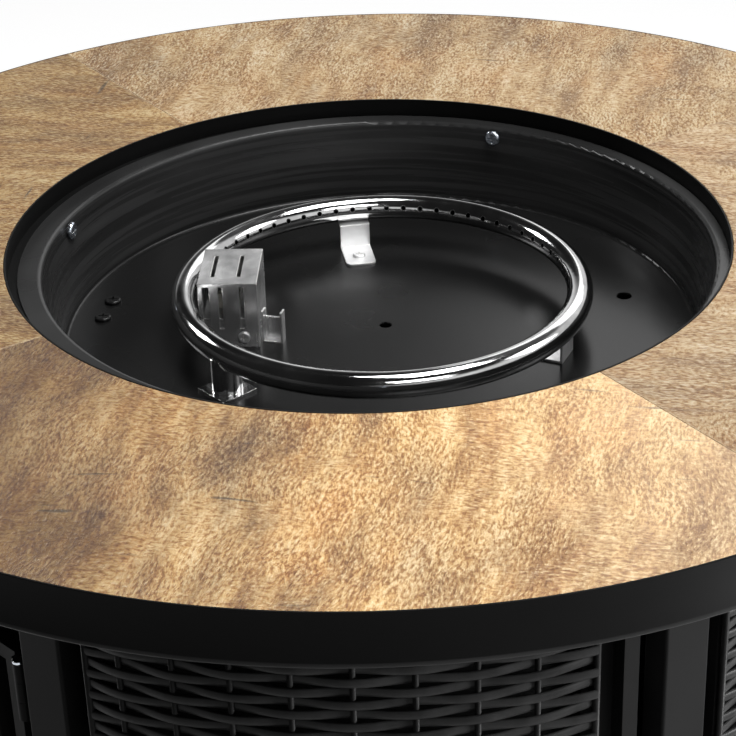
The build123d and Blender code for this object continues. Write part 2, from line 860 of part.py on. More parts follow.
def post(index):
    """Box-section post between the two rings."""
    height = top_ring_z - bottom_ring_top
    tube = slab(post_width, post_depth, height)
    tube = fillet(tube.edges().filter_by(Axis.Z), post_corner)
    tube -= slab(post_width - 2 * post_wall, post_depth - 2 * post_wall, height)
    angle = post_angle(index)
    return Pos(*polar(foot_circle(), angle, bottom_ring_top)) * Rot(0, 0, angle + 90) * tube


def base_plate():
    """Round floor that the gas cylinder stands on, with vent holes."""
    disc = Pos(0, 0, bottom_ring_top) * rod(base_plate_radius, base_sheet)
    for index in range(vent_count):
        angle = 360.0 * index / vent_count
        spot = polar(vent_circle, angle, bottom_ring_top - cut_over)
        disc -= Pos(*spot) * rod(vent_radius, base_sheet + 2 * cut_over)
    return disc


def tank_collar():
    """Low ring that centres the foot of the gas cylinder."""
    return ring(collar_inner, collar_inner + collar_wall, plate_top, plate_top + collar_height)


# Side panels

def panel(middle, z0, z1):
    """Curved steel tray: backing sheet, rails, stiles and the open channel beside the weave."""
    left = middle - panel_half
    right = middle + panel_half
    channel_left = right - stile_angle - slot_angle
    low = z0 + rail_height
    high = z1 - rail_height
    floor = panel_back + panel_sheet
    tray = sector(panel_back, panel_front, left, right, z0, z1)
    outer = panel_front + cut_over
    tray -= sector(floor, outer, left + stile_angle, channel_left - stile_angle, low, high)
    return tray - sector(floor, outer, channel_left, right - stile_angle, low, high)


def wicker(middle, z0, z1):
    """Woven skin over the front of a panel, as a plain curved sheet."""
    inner = panel_front + wicker_gap
    left = middle - panel_half + wicker_edge
    right = middle + panel_half - 2 * stile_angle - slot_angle + wicker_lap
    return sector(inner, inner + wicker_thick, left, right, z0 + wicker_inset, z1 - wicker_inset)


# Door and its hardware

def door_levels():
    """Lower and upper edge of the door."""
    return bottom_ring_top + door_clear, door_top


def hinge_angle():
    """Vertical line of the hinges, in the gap between the door and its post."""
    half_post = math.degrees(math.asin(post_width / 2 / hinge_line))
    door_edge = door_middle + panel_half
    post_edge = post_angle(door_bay - 2) - half_post
    return (door_edge + post_edge) / 2


def hinge_levels():
    """Middle height of the upper and the lower hinge."""
    low = door_levels()[0] + (door_top - (table_height - hinge_drop))
    return table_height - hinge_drop, low


def hinge_leaf_part(z, flange_place, flange_x, side, spans):
    """One leaf: a flange on its carrier, a web and its knuckles on the hinge line."""
    place = facing(hinge_line, hinge_angle(), z)
    leaf = flange_place * Pos(flange_x, 0, -hinge_leaf) * slab(hinge_sheet, hinge_height, hinge_leaf)
    reach = hinge_radius + hinge_sheet
    for low, high in spans:
        web = slab(reach, high - low, hinge_sheet)
        web = Pos(side * reach / 2, (low + high) / 2, -hinge_sheet) * web
        knuckle = Pos(0, low, 0) * Rot(-90, 0, 0) * rod(hinge_radius, high - low)
        leaf += place * (web + knuckle)
    pin_hole = Pos(0, -hinge_height, 0) * Rot(-90, 0, 0) * rod(hinge_pin + run_fit, 2 * hinge_height)
    return leaf - place * pin_hole


def post_leaf(z):
    """Leaf on the side of the post."""
    place = facing(hinge_line, post_angle(door_bay - 2), z)
    flange_x = -(post_width / 2 + hinge_sheet / 2)
    return hinge_leaf_part(z, place, flange_x, 1, knuckle_spans(True))


def door_leaf(z):
    """Leaf on the edge of the door."""
    place = facing(hinge_line, door_middle + panel_half, z)
    return hinge_leaf_part(z, place, hinge_sheet / 2, -1, knuckle_spans(False))


def knuckle_spans(of_post):
    """The post leaf holds the outer thirds of the knuckle, the door leaf the middle."""
    third = hinge_height / 6
    if of_post:
        return [(-hinge_height / 2, -third - hole_fit), (third + hole_fit, hinge_height / 2)]
    return [(-third, third)]


def hinge_pins():
    """Headed pins through the knuckles."""
    pins = []
    for z in hinge_levels():
        pin = rod(hinge_pin, hinge_height) + Pos(0, 0, hinge_height) * rod(hinge_radius, pin_head)
        spot = polar(hinge_line, hinge_angle(), z - hinge_height / 2)
        pins.append(Pos(*spot) * pin)
    return pins


def handle_place():
    """Middle of the handle on the free stile of the door."""
    angle = door_middle - panel_half + stile_angle / 2
    return facing(panel_front, angle, table_height - handle_drop)


def handle_legs(radius, start, length):
    """The two legs of the handle, or the holes that they pass through."""
    legs = []
    for side in (-1, 1):
        spot = Pos(0, side * (handle_length / 2 - 2 * handle_radius), start)
        legs.append(handle_place() * spot * rod(radius, length))
    return legs


def door_handle():
    """Upright bar on two short legs."""
    grip = Pos(0, -handle_length / 2, handle_reach) * Rot(-90, 0, 0) * rod(handle_radius, handle_length)
    handle = handle_place() * grip
    for leg in handle_legs(handle_leg, seat_gap, handle_reach):
        handle += leg
    return handle


def door_wicker(middle, z0, z1):
    """Woven skin of the door, with clearance round the handle's legs."""
    skin = wicker(middle, z0, z1)
    for hole in handle_legs(handle_leg + hole_fit, -cut_over, handle_reach):
        skin -= hole
    return skin


def magnet_catch():
    """Magnet block behind the door's free edge, on a plate across the post's inner face."""
    z = table_height - catch_drop
    post_inner = foot_circle() - post_depth / 2
    door_edge = door_middle - panel_half
    lap = math.degrees(catch_width / 2 / panel_back)
    front = panel_back - catch_gap
    block = facing(front - catch_depth, door_edge + lap / 2, z)
    block *= slab(catch_width, catch_height, catch_depth)
    post_middle = post_angle(door_bay - 1)
    reach = post_inner * math.tan(math.radians(door_edge - post_middle)) - catch_gap
    plate = slab(reach + post_width / 2, catch_height, catch_plate)
    plate = Pos((reach - post_width / 2) / 2, 0, 0) * plate
    return block + facing(post_inner - catch_plate, post_middle, z) * plate


# Controls

def control_panel():
    """Curved sheet above the door, with the holes for the valve and the igniter."""
    inner = panel_front - control_sheet
    start = inner - cut_over
    through = control_sheet + 2 * cut_over
    left = door_middle - panel_half
    right = door_middle + panel_half
    sheet = sector(inner, panel_front, left, right, control_bottom, top_ring_z)
    sheet -= facing(start, valve_angle, feed_z) * rod(stem_hole, through)
    sheet -= facing(start, igniter_angle, feed_z) * rod(igniter_radius + hole_fit, through)
    for angle, z in panel_screw_spots():
        sheet -= facing(start, angle, z) * rod(screw_radius + hole_fit, through)
    return sheet


def panel_screw_spots():
    """Screws that hold the valve to the control panel."""
    turn = math.degrees(panel_screw_spread / base_radius)
    return [(valve_angle - turn, feed_z), (valve_angle + turn, feed_z)]


def gas_valve():
    """Valve body with its front boss, its outlet and its threaded inlet."""
    body = facing(valve_front - valve_depth, valve_angle, feed_z)
    body *= slab(valve_width, valve_height, valve_depth)
    boss_length = valve_set_back - control_sheet - valve_clear
    body += facing(valve_front, valve_angle, feed_z) * slab(valve_width, 2 * valve_boss, boss_length)
    outlet_start = valve_front - valve_depth - outlet_length
    body += facing(outlet_start, valve_angle, feed_z) * rod(outlet_radius, outlet_length)
    middle = valve_front - valve_depth / 2
    low = feed_z - valve_height / 2 - inlet_hex
    collar = hexagon(inlet_flats, inlet_hex)
    body += Pos(*polar(middle, valve_angle, low)) * Rot(0, 0, valve_angle) * collar
    tail = polar(middle, valve_angle, low - inlet_length)
    body += Pos(*tail) * rod(inlet_radius, inlet_length)
    body -= Pos(*tail) * rod(inlet_bore, inlet_length + 2 * inlet_hex)
    body -= facing(outlet_start, valve_angle, feed_z) * rod(pipe_radius + run_fit, outlet_length / 2)
    stem_bore = rod(stem_radius + run_fit, stem_seat + valve_set_back)
    body -= facing(valve_front - stem_seat, valve_angle, feed_z) * stem_bore
    for angle, z in panel_screw_spots():
        body -= facing(valve_front, angle, z) * rod(screw_radius + run_fit, valve_set_back)
    return body


def d_shaft(radius, flat, length):
    """Round shaft with one flat."""
    return rod(radius, length) - Pos(0, flat + radius, 0) * slab(2 * radius, 2 * radius, length)


def valve_stem():
    """Turning spindle of the valve, with a flat for the knob."""
    start = valve_front - stem_seat
    plain = knob_base - stem_shoulder - start
    stem = rod(stem_radius, plain)
    stem += Pos(0, 0, plain) * d_shaft(stem_radius, stem_flat, stem_reach + stem_shoulder)
    return facing(start, valve_angle, feed_z) * stem


def control_knob():
    """Knob with a skirt, ribs round the grip and a D bore."""
    skirt = fillet(rod(knob_radius, knob_skirt).edges().sort_by(Axis.Z)[-1], 1.5)
    grip = fillet(rod(knob_grip, knob_height).edges().sort_by(Axis.Z)[-1], 2.0)
    knob = skirt + grip
    for index in range(groove_count):
        turn = Rot(0, 0, 360.0 * index / groove_count)
        knob -= turn * Pos(groove_circle, 0, knob_skirt + cut_over) * rod(groove_radius, knob_height)
    depth = stem_reach + knob_travel + knob_spare
    knob -= d_shaft(stem_radius + run_fit, stem_flat + run_fit, depth)
    mark = slab(mark_width, mark_length, 2 * mark_deep)
    knob -= Pos(0, knob_grip - mark_length, knob_height - mark_deep) * mark
    return facing(knob_base, valve_angle, feed_z) * knob


def igniter_body():
    """Housing of the spark igniter, through the control panel, with its ring nut."""
    place = facing(panel_front + curve_gap, igniter_angle, feed_z)
    body = Pos(0, 0, -igniter_length) * rod(igniter_radius, igniter_length)
    flange = rod(igniter_flange, igniter_flange_thick)
    body += fillet(flange.edges().sort_by(Axis.Z)[-1], igniter_flange_thick / 4)
    nut_z = -control_sheet - 2 * curve_gap - igniter_nut_thick
    body += Pos(0, 0, nut_z) * rod(igniter_flange, igniter_nut_thick)
    body -= Pos(0, 0, -button_depth) * rod(button_radius + run_fit, 2 * button_depth)
    return place * body


def igniter_button():
    """Push button of the igniter."""
    place = facing(panel_front + curve_gap, igniter_angle, feed_z)
    low = button_travel + button_spare - button_depth
    length = igniter_flange_thick + button_travel + button_proud - low
    cap = fillet(rod(button_radius, length).edges().sort_by(Axis.Z)[-1], button_proud)
    return place * Pos(0, 0, low) * cap


def frame_screws():
    """Bolts that hold the deck to the top ring, and the screws of the valve."""
    solids = []
    for angle in ring_bolt_angles():
        bolt = hexagon(bolt_head_flats, bolt_head_height)
        bolt += Pos(0, 0, bolt_head_height) * rod(bolt_shank, ring_plate + deck_sheet)
        solids.append(Pos(*polar(ring_bolt_circle, angle, top_ring_z - bolt_head_height)) * bolt)
    for angle, z in panel_screw_spots():
        screw = pan_head_screw(screw_radius, screw_head, panel_screw_length)
        solids.append(facing(panel_front + seat_gap, angle, z) * screw)
    return solids


# Write every node

save("rim_band", rim_band())
save("top_deck", top_deck())
quarters = {"front": 225, "right": 315, "back": 45, "left": 135}
for name, middle in quarters.items():
    save(f"tile_{name}", tile(middle + seam_angle))
save("trim_band", trim_band())
save("fire_bowl", fire_bowl())
save("bowl_clips", bowl_clips())
save("bowl_screws", bowl_screws())
save("floor_bolts", floor_bolts())
save("burner_ring", burner_ring())
for name in bracket_angles:
    save(f"burner_bracket_{name}", burner_bracket(name))
save("bracket_screws", bracket_screws())
save("feed_nipple", feed_nipple())
save("feed_elbow", feed_elbow())
save("air_mixer", air_mixer())
save("gas_orifice", gas_orifice())
save("gas_pipe", gas_pipe())
save("gas_nuts", gas_nuts())
save("pilot_hood", pilot_hood())
save("pilot_shelf", pilot_shelf())
save("pilot_bracket", pilot_bracket())
save("pilot_screws", pilot_screws())
save("electrode_insulator", electrode_insulator())
save("electrode_rod", electrode_rod())
save("thermocouple", thermocouple())
save("top_ring", top_ring())
save("bottom_ring", bottom_ring())
save("base_plate", base_plate())
save("tank_collar", tank_collar())
save("feet", feet())
for index in range(post_count):
    save(f"post_{index + 1}", post(index))
    if index == door_bay - 2:
        low, high = door_levels()
        save("door_panel", panel(bay_angle(index), low, high))
        save("door_wicker", door_wicker(bay_angle(index), low, high))
    else:
        save(f"side_panel_{index + 1}", panel(bay_angle(index), bottom_ring_top, top_ring_z))
        save(f"side_wicker_{index + 1}", wicker(bay_angle(index), bottom_ring_top, top_ring_z))
save("hinge_post_leaves", [post_leaf(z) for z in hinge_levels()])
save("hinge_door_leaves", [door_leaf(z) for z in hinge_levels()])
save("hinge_pins", hinge_pins())
save("door_handle", door_handle())
save("magnet_catch", magnet_catch())
save("control_panel", control_panel())
save("gas_valve", gas_valve())
save("valve_stem", valve_stem())
save("control_knob", control_knob())
save("igniter_body", igniter_body())
save("igniter_button", igniter_button())
save("frame_screws", frame_screws())
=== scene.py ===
# %% [markdown]
# # A round gas fire pit table
# The table has a wood-look top round a sunk black bowl, a polished ring burner and a woven base.
# The solid parts come as a fixed frame, in metres, with +Z up and -Y towards the person in front.
# This notebook gives each part its finish, and makes what the frame leaves plain: the weave, the
# rolled edge of the top and the bevelled tiles.

# %% Load the frame
import json
import math

import bmesh
import bpy
from mathutils import Matrix, Vector


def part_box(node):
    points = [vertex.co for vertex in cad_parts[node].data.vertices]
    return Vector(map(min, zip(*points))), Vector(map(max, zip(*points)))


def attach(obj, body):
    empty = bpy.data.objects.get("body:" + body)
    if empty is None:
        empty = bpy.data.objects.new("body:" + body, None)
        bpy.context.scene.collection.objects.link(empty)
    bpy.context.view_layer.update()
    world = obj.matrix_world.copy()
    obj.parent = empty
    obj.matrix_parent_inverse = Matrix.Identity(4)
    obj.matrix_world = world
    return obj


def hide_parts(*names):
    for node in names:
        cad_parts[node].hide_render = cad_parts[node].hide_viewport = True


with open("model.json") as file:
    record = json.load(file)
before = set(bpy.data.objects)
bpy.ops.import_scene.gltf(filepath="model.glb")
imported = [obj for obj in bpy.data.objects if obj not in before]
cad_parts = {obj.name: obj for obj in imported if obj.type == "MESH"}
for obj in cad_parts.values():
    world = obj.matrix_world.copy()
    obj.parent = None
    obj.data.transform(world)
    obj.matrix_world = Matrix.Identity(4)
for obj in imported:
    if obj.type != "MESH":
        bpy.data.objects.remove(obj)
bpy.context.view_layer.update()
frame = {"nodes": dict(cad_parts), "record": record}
nodes = frame["nodes"]
MM = 0.001
rim_low, rim_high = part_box("rim_band")
table_radius = (rim_high.x - rim_low.x) / 2
table_top = rim_high.z
print(f"{len(nodes)} nodes, table radius {table_radius:.4f} m, top at {table_top:.3f} m")

# %% [markdown]
# ## Adding objects
# Blender leaves an object out of the picture until a collection holds it. So one helper makes an
# object and links it to the scene's own collection.

# %% Helper for objects
def new_object(name, data):
    """Object that the scene's own collection holds."""
    made = bpy.data.objects.new(name, data)
    bpy.context.scene.collection.objects.link(made)
    return made


# %% [markdown]
# ## The camera
# The camera is 1.3 m from the middle of the table top, at a seated person's eye height, and looks
# down at about 29 degrees. Its long lens fills the picture with the bowl, so the table's sides are
# cut off. The camera's place is written from the top's centre, with a heading, a tilt and a small
# roll, so each of them can be changed alone.

# %% Camera
camera_offset = Vector((0.0, -1.20474, 0.56377))
camera_tilt = math.radians(-28.69)
camera_heading = math.radians(0.12)
camera_roll = math.radians(1.90)
focal_length = 104.58

camera_data = bpy.data.cameras.new("camera")
camera_data.lens = focal_length
camera_data.sensor_width = 36.0
camera = new_object("camera", camera_data)
camera.location = Vector((0, 0, table_top)) + camera_offset
turn = Matrix.Rotation(camera_heading, 4, "Z") @ Matrix.Rotation(math.pi / 2 + camera_tilt, 4, "X")
camera.rotation_euler = (turn @ Matrix.Rotation(-camera_roll, 4, "Z")).to_euler()
bpy.context.scene.camera = camera
print("camera at", [round(x, 3) for x in camera.location])

# %% [markdown]
# ## Short ways to write node trees
# Shader trees and geometry trees are both wired node by node. Wiring by hand takes three lines for
# each node, so one helper adds a node, sets its properties and fills or links its inputs. Another
# turns screen values from 0 to 255 into the linear values that a shader wants.

# %% Helpers for node trees
def paint(red, green, blue):
    """Colour written as 0-255 screen values, for a shader socket."""
    def linear(value):
        share = value / 255
        return share / 12.92 if share <= 0.04045 else ((share + 0.055) / 1.055) ** 2.4
    return (linear(red), linear(green), linear(blue), 1.0)


def grey(level):
    """Grey colour at a 0-255 screen level."""
    return paint(level, level, level)


def add(tree, kind, inputs=None, **settings):
    """Add a node, set its properties, then fill or link its inputs."""
    made = tree.nodes.new(kind)
    for name, value in settings.items():
        setattr(made, name, value)
    for name, value in (inputs or {}).items():
        socket = made.inputs[name]
        if isinstance(value, bpy.types.NodeSocket):
            tree.links.new(value, socket)
        else:
            socket.default_value = value
    return made


# %% [markdown]
# ## The nodes that come back most often
# Each of these is one short call: a calculation on numbers, one on vectors, the parts of a vector, a
# colour ramp, a mix of two colours, and a value brought from one range to another.

# %% Short calls
def calc(tree, operation, *values):
    """Result of one math node."""
    return add(tree, "ShaderNodeMath", dict(enumerate(values)), operation=operation).outputs[0]


def vector_calc(tree, operation, *values):
    """Outputs of one vector math node."""
    return add(tree, "ShaderNodeVectorMath", dict(enumerate(values)), operation=operation).outputs


def split(tree, vector):
    """X, Y and Z of a vector."""
    return add(tree, "ShaderNodeSeparateXYZ", {"Vector": vector}).outputs


def ramp(tree, factor, stops):
    """Colour ramp through (position, colour) stops."""
    made = add(tree, "ShaderNodeValToRGB", {"Fac": factor})
    elements = made.color_ramp.elements
    while len(elements) < len(stops):
        elements.new(0.5)
    for element, (position, colour) in zip(elements, stops):
        element.position = position
        element.color = colour
    return made.outputs["Color"]


def mix(tree, factor, first, second, kind="MIX"):
    """Mix two colours."""
    made = add(tree, "ShaderNodeMix", data_type="RGBA", blend_type=kind)
    for index, value in ((0, factor), (6, first), (7, second)):
        if isinstance(value, bpy.types.NodeSocket):
            tree.links.new(value, made.inputs[index])
        else:
            made.inputs[index].default_value = value
    return made.outputs[2]


def scaled(tree, value, low, high, to_low, to_high):
    """Map a value from one range to another, clamped."""
    made = add(tree, "ShaderNodeMapRange", {
        "Value": value, "From Min": low, "From Max": high, "To Min": to_low, "To Max": to_high})
    return made.outputs["Result"]


# %% [markdown]
# ## The room
# Black paint and polished steel show little colour of their own: what shows is what they mirror.
# So the room matters as much as the lamps. It is dim overhead, with one wide pale wall at the back
# right, where a window or a big soft box would stand. The camera sees plain white past the table.
# Mirrors see that same white backdrop, low down on the left, higher on the right, and dark above
# it. That draws the long bright line along the inside of the polished ring, and leaves the left of
# the bowl in the dark.

# %% Room
room = bpy.data.worlds.new("room")
room.use_nodes = True
sky = room.node_tree
sky.nodes.clear()
looking = add(sky, "ShaderNodeTexCoord").outputs["Generated"]
pale_wall = Vector((0.55, 0.78, 0.30)).normalized()
wall_edge, wall_middle = 0.70, 0.97
towards = vector_calc(sky, "DOT_PRODUCT", looking, pale_wall)["Value"]
paleness = scaled(sky, towards, wall_edge, wall_middle, 0.0, 1.0)
room_colour = mix(sky, paleness, grey(34), grey(110))
path = add(sky, "ShaderNodeLightPath")
mirrored = calc(sky, "MAXIMUM", path.outputs["Is Glossy Ray"], path.outputs["Is Transmission Ray"])
backdrop_lean = -0.40
backdrop_full, backdrop_end = 0.32, 0.46
gaze = split(sky, looking)
height = calc(sky, "MULTIPLY_ADD", gaze["X"], backdrop_lean, gaze["Z"])
backdrop = scaled(sky, height, backdrop_full, backdrop_end, 1.0, 0.0)
room_colour = mix(sky, calc(sky, "MULTIPLY", mirrored, backdrop), room_colour, (1, 1, 1, 1))
shown = add(sky, "ShaderNodeBackground", {"Color": (1, 1, 1, 1), "Strength": 1.0})
lighting = add(sky, "ShaderNodeBackground", {"Color": room_colour, "Strength": 1.0})
either = add(sky, "ShaderNodeMixShader", {
    0: path.outputs["Is Camera Ray"], 1: lighting.outputs[0], 2: shown.outputs[0]})
add(sky, "ShaderNodeOutputWorld", {"Surface": either.outputs[0]})
bpy.context.scene.world = room

# %% [markdown]
# ## The lamps
# Each lamp is a large soft rectangle, given by its place, the point it faces, its size and its
# power. Most of the light on the table top comes from above and a little to the right, and a
# second lamp on the right makes the wood fall off towards the left. Those behind graze the embossed
# grain and put a soft patch in the bowl. One stands above the camera for the bowl's far wall. Two
# stand low beside the table, below its top, and light the woven sides and the door. A weak one
# stands in front, a little higher than the top.

# %% Lamps
lamps = {
    "lamp_top": ((0.35, 0.20, 2.30), (0.1, 0.0, 0.6), (0.8, 0.8), 37),
    "lamp_right": ((1.35, 0.10, 1.60), (0.1, -0.1, 0.6), (0.6, 0.6), 8),
    "lamp_back_right": ((0.75, 1.75, 1.80), (0.1, -0.1, 0.6), (1.2, 0.6), 5),
    "lamp_back_left": ((-1.3, 1.0, 1.7), (0.0, 0.0, 0.6), (0.5, 0.4), 10),
    "lamp_front_top": ((0.60, -1.5, 2.2), (0.0, 0.1, 0.6), (1.0, 0.5), 14),
    "lamp_side_right": ((1.90, -0.75, 0.24), (0.1, -0.1, 0.30), (0.6, 0.4), 60),
    "lamp_side_left": ((-2.20, 0.85, 0.35), (-0.2, 0.0, 0.35), (0.6, 0.4), 24),
    "lamp_front_low": ((0.90, -2.3, 0.70), (0.0, 0.0, 0.45), (0.8, 0.5), 1),
}
for name, (place, aim, size, power) in lamps.items():
    data = bpy.data.lights.new(name, "AREA")
    data.shape = "RECTANGLE"
    data.size, data.size_y = size
    data.energy = power
    lamp = new_object(name, data)
    lamp.location = place
    lamp.rotation_euler = (Vector(aim) - Vector(place)).to_track_quat("-Z", "Y").to_euler()
print("lamps add up to", sum(lamp[3] for lamp in lamps.values()), "W")

# %% [markdown]
# ## The floor
# A pale sweep carries the table's shadow. To the camera it glows by itself, so that it comes out
# white where no shadow lies, and the shadow still shows. Only camera rays and mirrors see the glow.
# Its paint is a middle grey, because a white floor throws light up on the base from below, and the
# black posts and the weave would turn pale.

# %% Floor
reach = 6.0
floor_glow = 0.86
corners = [(-reach, -reach, 0), (reach, -reach, 0), (reach, reach, 0), (-reach, reach, 0)]
floor_mesh = bpy.data.meshes.new("floor")
floor_mesh.from_pydata(corners, [], [(0, 1, 2, 3)])
floor = new_object("floor", floor_mesh)
floor_paint = bpy.data.materials.new("floor_paint")
floor_paint.use_nodes = True
floor_tree = floor_paint.node_tree
floor_shader = floor_tree.nodes["Principled BSDF"]
floor_shader.inputs["Base Color"].default_value = grey(140)
floor_shader.inputs["Roughness"].default_value = 0.9
floor_shader.inputs["Emission Color"].default_value = (1, 1, 1, 1)
floor_path = add(floor_tree, "ShaderNodeLightPath").outputs
seen = calc(floor_tree, "MAXIMUM", floor_path["Is Camera Ray"], floor_path["Is Glossy Ray"])
seen = calc(floor_tree, "MAXIMUM", seen, floor_path["Is Transmission Ray"])
shine = calc(floor_tree, "MULTIPLY", seen, floor_glow)
floor_tree.links.new(shine, floor_shader.inputs["Emission Strength"])
floor_mesh.materials.append(floor_paint)
bpy.context.scene.view_settings.view_transform = "Standard"

# %% [markdown]
# ## How the materials start
# Every finish here is a Principled shader that reads Object coordinates. The frame's objects sit at
# the origin, so those coordinates are metres in the table itself, and a pattern keeps its real size
# and never slides. Noise is the raw material: turned, moved and stretched, it gives grain, smears
# and pebbles.

# %% Material helpers
def start_material(name, roughness=0.5, metallic=0.0):
    """New material with its tree, its shader and the object coordinates."""
    material = bpy.data.materials.new(name)
    material.use_nodes = True
    tree = material.node_tree
    shader = tree.nodes["Principled BSDF"]
    shader.inputs["Roughness"].default_value = roughness
    shader.inputs["Metallic"].default_value = metallic
    place = add(tree, "ShaderNodeTexCoord").outputs["Object"]
    return material, tree, shader, place


def noise(tree, place, scale, stretch=(1, 1, 1), detail=4.0, rough=0.55):
    """Noise with about scale lumps in a metre, stretched where stretch is under 1."""
    spread = vector_calc(tree, "MULTIPLY", place, stretch)[0]
    made = add(tree, "ShaderNodeTexNoise", {
        "Vector": spread, "Scale": scale, "Detail": detail, "Roughness": rough})
    return made.outputs["Fac"]


def turned(tree, place, angle, shift=(0, 0, 0)):
    """The same coordinates, moved and turned about Z."""
    made = add(tree, "ShaderNodeMapping", {
        "Vector": place, "Location": shift, "Rotation": (0, 0, angle)})
    return made.outputs[0]


def swirled(tree, place, scale, amount):
    """Coordinates pushed about by a coarse noise, so that straight marks run in lazy curves."""
    push = add(tree, "ShaderNodeTexNoise", {"Vector": place, "Scale": scale, "Detail": 2.0})
    centred = vector_calc(tree, "SUBTRACT", push.outputs["Color"], (0.5, 0.5, 0.5))[0]
    move = add(tree, "ShaderNodeVectorMath", {0: centred, "Scale": amount}, operation="SCALE")
    return vector_calc(tree, "ADD", place, move.outputs[0])[0]


def bumped(tree, shader, height, strength, distance, edge=0.0):
    """Drive the shader's normal from a height, with sharp edges shaded as if rounded by edge."""
    bump = add(tree, "ShaderNodeBump", {"Height": height, "Strength": strength, "Distance": distance})
    if edge:
        rounded = add(tree, "ShaderNodeBevel", {"Radius": edge}, samples=4)
        tree.links.new(rounded.outputs[0], bump.inputs["Normal"])
    tree.links.new(bump.outputs[0], shader.inputs["Normal"])


slot_of = {part["node"]: part["material_slot"] for part in frame["record"]["subparts"]}


def dress(name, material):
    """Give a frame node one material."""
    mesh = nodes[name].data
    mesh.materials.clear()
    mesh.materials.append(material)


# %% [markdown]
# ## The wood-look finish
# The top is printed and embossed, not sawn wood. Close up it is a field of short raised flecks, 1
# to 2 mm wide and two or three times as long, that mostly follow the grain and here and there run
# across it. Over that lie warm and smoky areas, and a few short dark strokes. Each of these layers
# starts from one noise. The flecks also drive the bump, and that matters most, because the light
# from the back picks them out as sparkle. First come the places where light is painted on: a
# painted highlight runs along the seams, the front quarter gets painted shade at its left end and a
# painted sheen at its right, and the left quarter gets a little painted shade all over.

# %% Painted shade and sheen at the ends, and a painted highlight along the seams
seam_angle = 33.5
seam_highlight_width = 1.2 * MM


def painted_light_ends(tree, base, place, smoke, shade):
    """Painted shade of given strength on a quarter's left end, painted sheen on its right, on a smoky line.
    """
    side = calc(tree, "MULTIPLY_ADD", calc(tree, "SUBTRACT", smoke, 0.5), -0.30, split(tree, place)["X"])
    # Painted shade: darker towards the quarter's left end.
    shadow = scaled(tree, side, -0.165, -0.01, shade, 0.0)
    base = mix(tree, shadow, base, mix(tree, 1.0, base, paint(130, 116, 90), "MULTIPLY"))
    # Painted sheen: paler towards the quarter's right end.
    return mix(tree, scaled(tree, side, 0.04, 0.20, 0.0, 0.3), base, paint(228, 206, 178))


def painted_seam_highlight(tree, base, place):
    """Painted highlight: a pale edge where the print meets a seam."""
    parts = split(tree, turned(tree, place, -math.radians(seam_angle)))
    off_seam = calc(tree, "MINIMUM", calc(tree, "ABSOLUTE", parts["X"]), calc(tree, "ABSOLUTE", parts["Y"]))
    # Painted highlight within the set width of each seam.
    edge = scaled(tree, off_seam, seam_highlight_width / 2, seam_highlight_width, 0.2, 0.0)
    return mix(tree, edge, base, paint(226, 206, 176))


# %% [markdown]
# ## The print itself
# The layers go on one after another: the streaks of the grain, a warm glow, smoke, painted shade in
# the flecks' sunken parts and a painted highlight on their tops, following the bump's relief, then
# the dark strokes. A tone tints each quarter, partly the print's own and partly a painted sheen, so
# no two of them look the same.

# %% Wood-look material
def tile_material(name, grain_angle, seed, tone, shade):
    """Printed wood, its grain along grain_angle, tinted by tone, its ends given painted shade and sheen."""
    material, tree, shader, place = start_material(name, 0.45)
    grain = turned(tree, place, -math.radians(grain_angle), (seed * 0.37, seed * 0.91, 0))
    grain = swirled(tree, grain, 7.0, 0.03)
    along = noise(tree, grain, 640.0, (0.40, 1.0, 1.0), 2.0, 0.6)
    across = noise(tree, grain, 520.0, (1.0, 0.45, 1.0), 2.0, 0.6)
    area = scaled(tree, noise(tree, grain, 16.0, detail=3.0), 0.47, 0.64, 0.0, 0.85)
    fleck = calc(tree, "ADD", calc(tree, "MULTIPLY", across, area),
                 calc(tree, "MULTIPLY", along, calc(tree, "SUBTRACT", 1.0, area)))
    streak = noise(tree, grain, 60.0, (0.22, 1.0, 1.0), 6.0, 0.68)
    smoke = noise(tree, grain, 17.0, (0.35, 1.0, 1.0), 6.0, 0.66)
    glow = noise(tree, grain, 24.0, (0.4, 1.0, 1.0), 4.0, 0.6)
    stroke = noise(tree, grain, 120.0, (1.0, 0.10, 1.0), 2.0, 0.5)
    base = ramp(tree, streak, [
        (0.28, paint(152, 118, 76)), (0.42, paint(193, 157, 106)),
        (0.54, paint(219, 189, 139)), (0.70, paint(239, 217, 178))])
    base = mix(tree, scaled(tree, glow, 0.5, 0.7, 0.0, 0.4), base, paint(212, 160, 96))
    smoky = scaled(tree, smoke, 0.48, 0.68, 0.0, 0.75)
    base = mix(tree, smoky, base, paint(126, 94, 58))
    # Painted shade: the flecks' sunken parts are darkened.
    painted_pit_shade = ramp(tree, fleck, [
        (0.36, paint(182, 152, 112)), (0.45, paint(222, 204, 176)),
        (0.52, paint(250, 246, 238)), (0.60, grey(255))])
    base = mix(tree, 1.0, base, painted_pit_shade, "MULTIPLY")
    # Painted highlight: the flecks' raised tops are lightened.
    base = mix(tree, scaled(tree, fleck, 0.55, 0.68, 0.0, 0.55), base, paint(244, 222, 182))
    strokes = ramp(tree, stroke, [(0.24, grey(110)), (0.30, grey(255))])
    base = mix(tree, 0.8, base, strokes, "MULTIPLY")
    base = mix(tree, 1.0, base, tone, "MULTIPLY")
    # Painted shade and painted sheen at the quarter's ends.
    if shade:
        base = painted_light_ends(tree, base, place, smoke, shade)
    base = painted_seam_highlight(tree, base, place)
    tree.links.new(base, shader.inputs["Base Color"])
    tree.links.new(scaled(tree, fleck, 0.3, 0.7, 0.56, 0.36), shader.inputs["Roughness"])
    height = calc(tree, "MULTIPLY_ADD", strokes, 0.3, fleck)
    bumped(tree, shader, height, 1.0, 1.6 * MM)
    return material


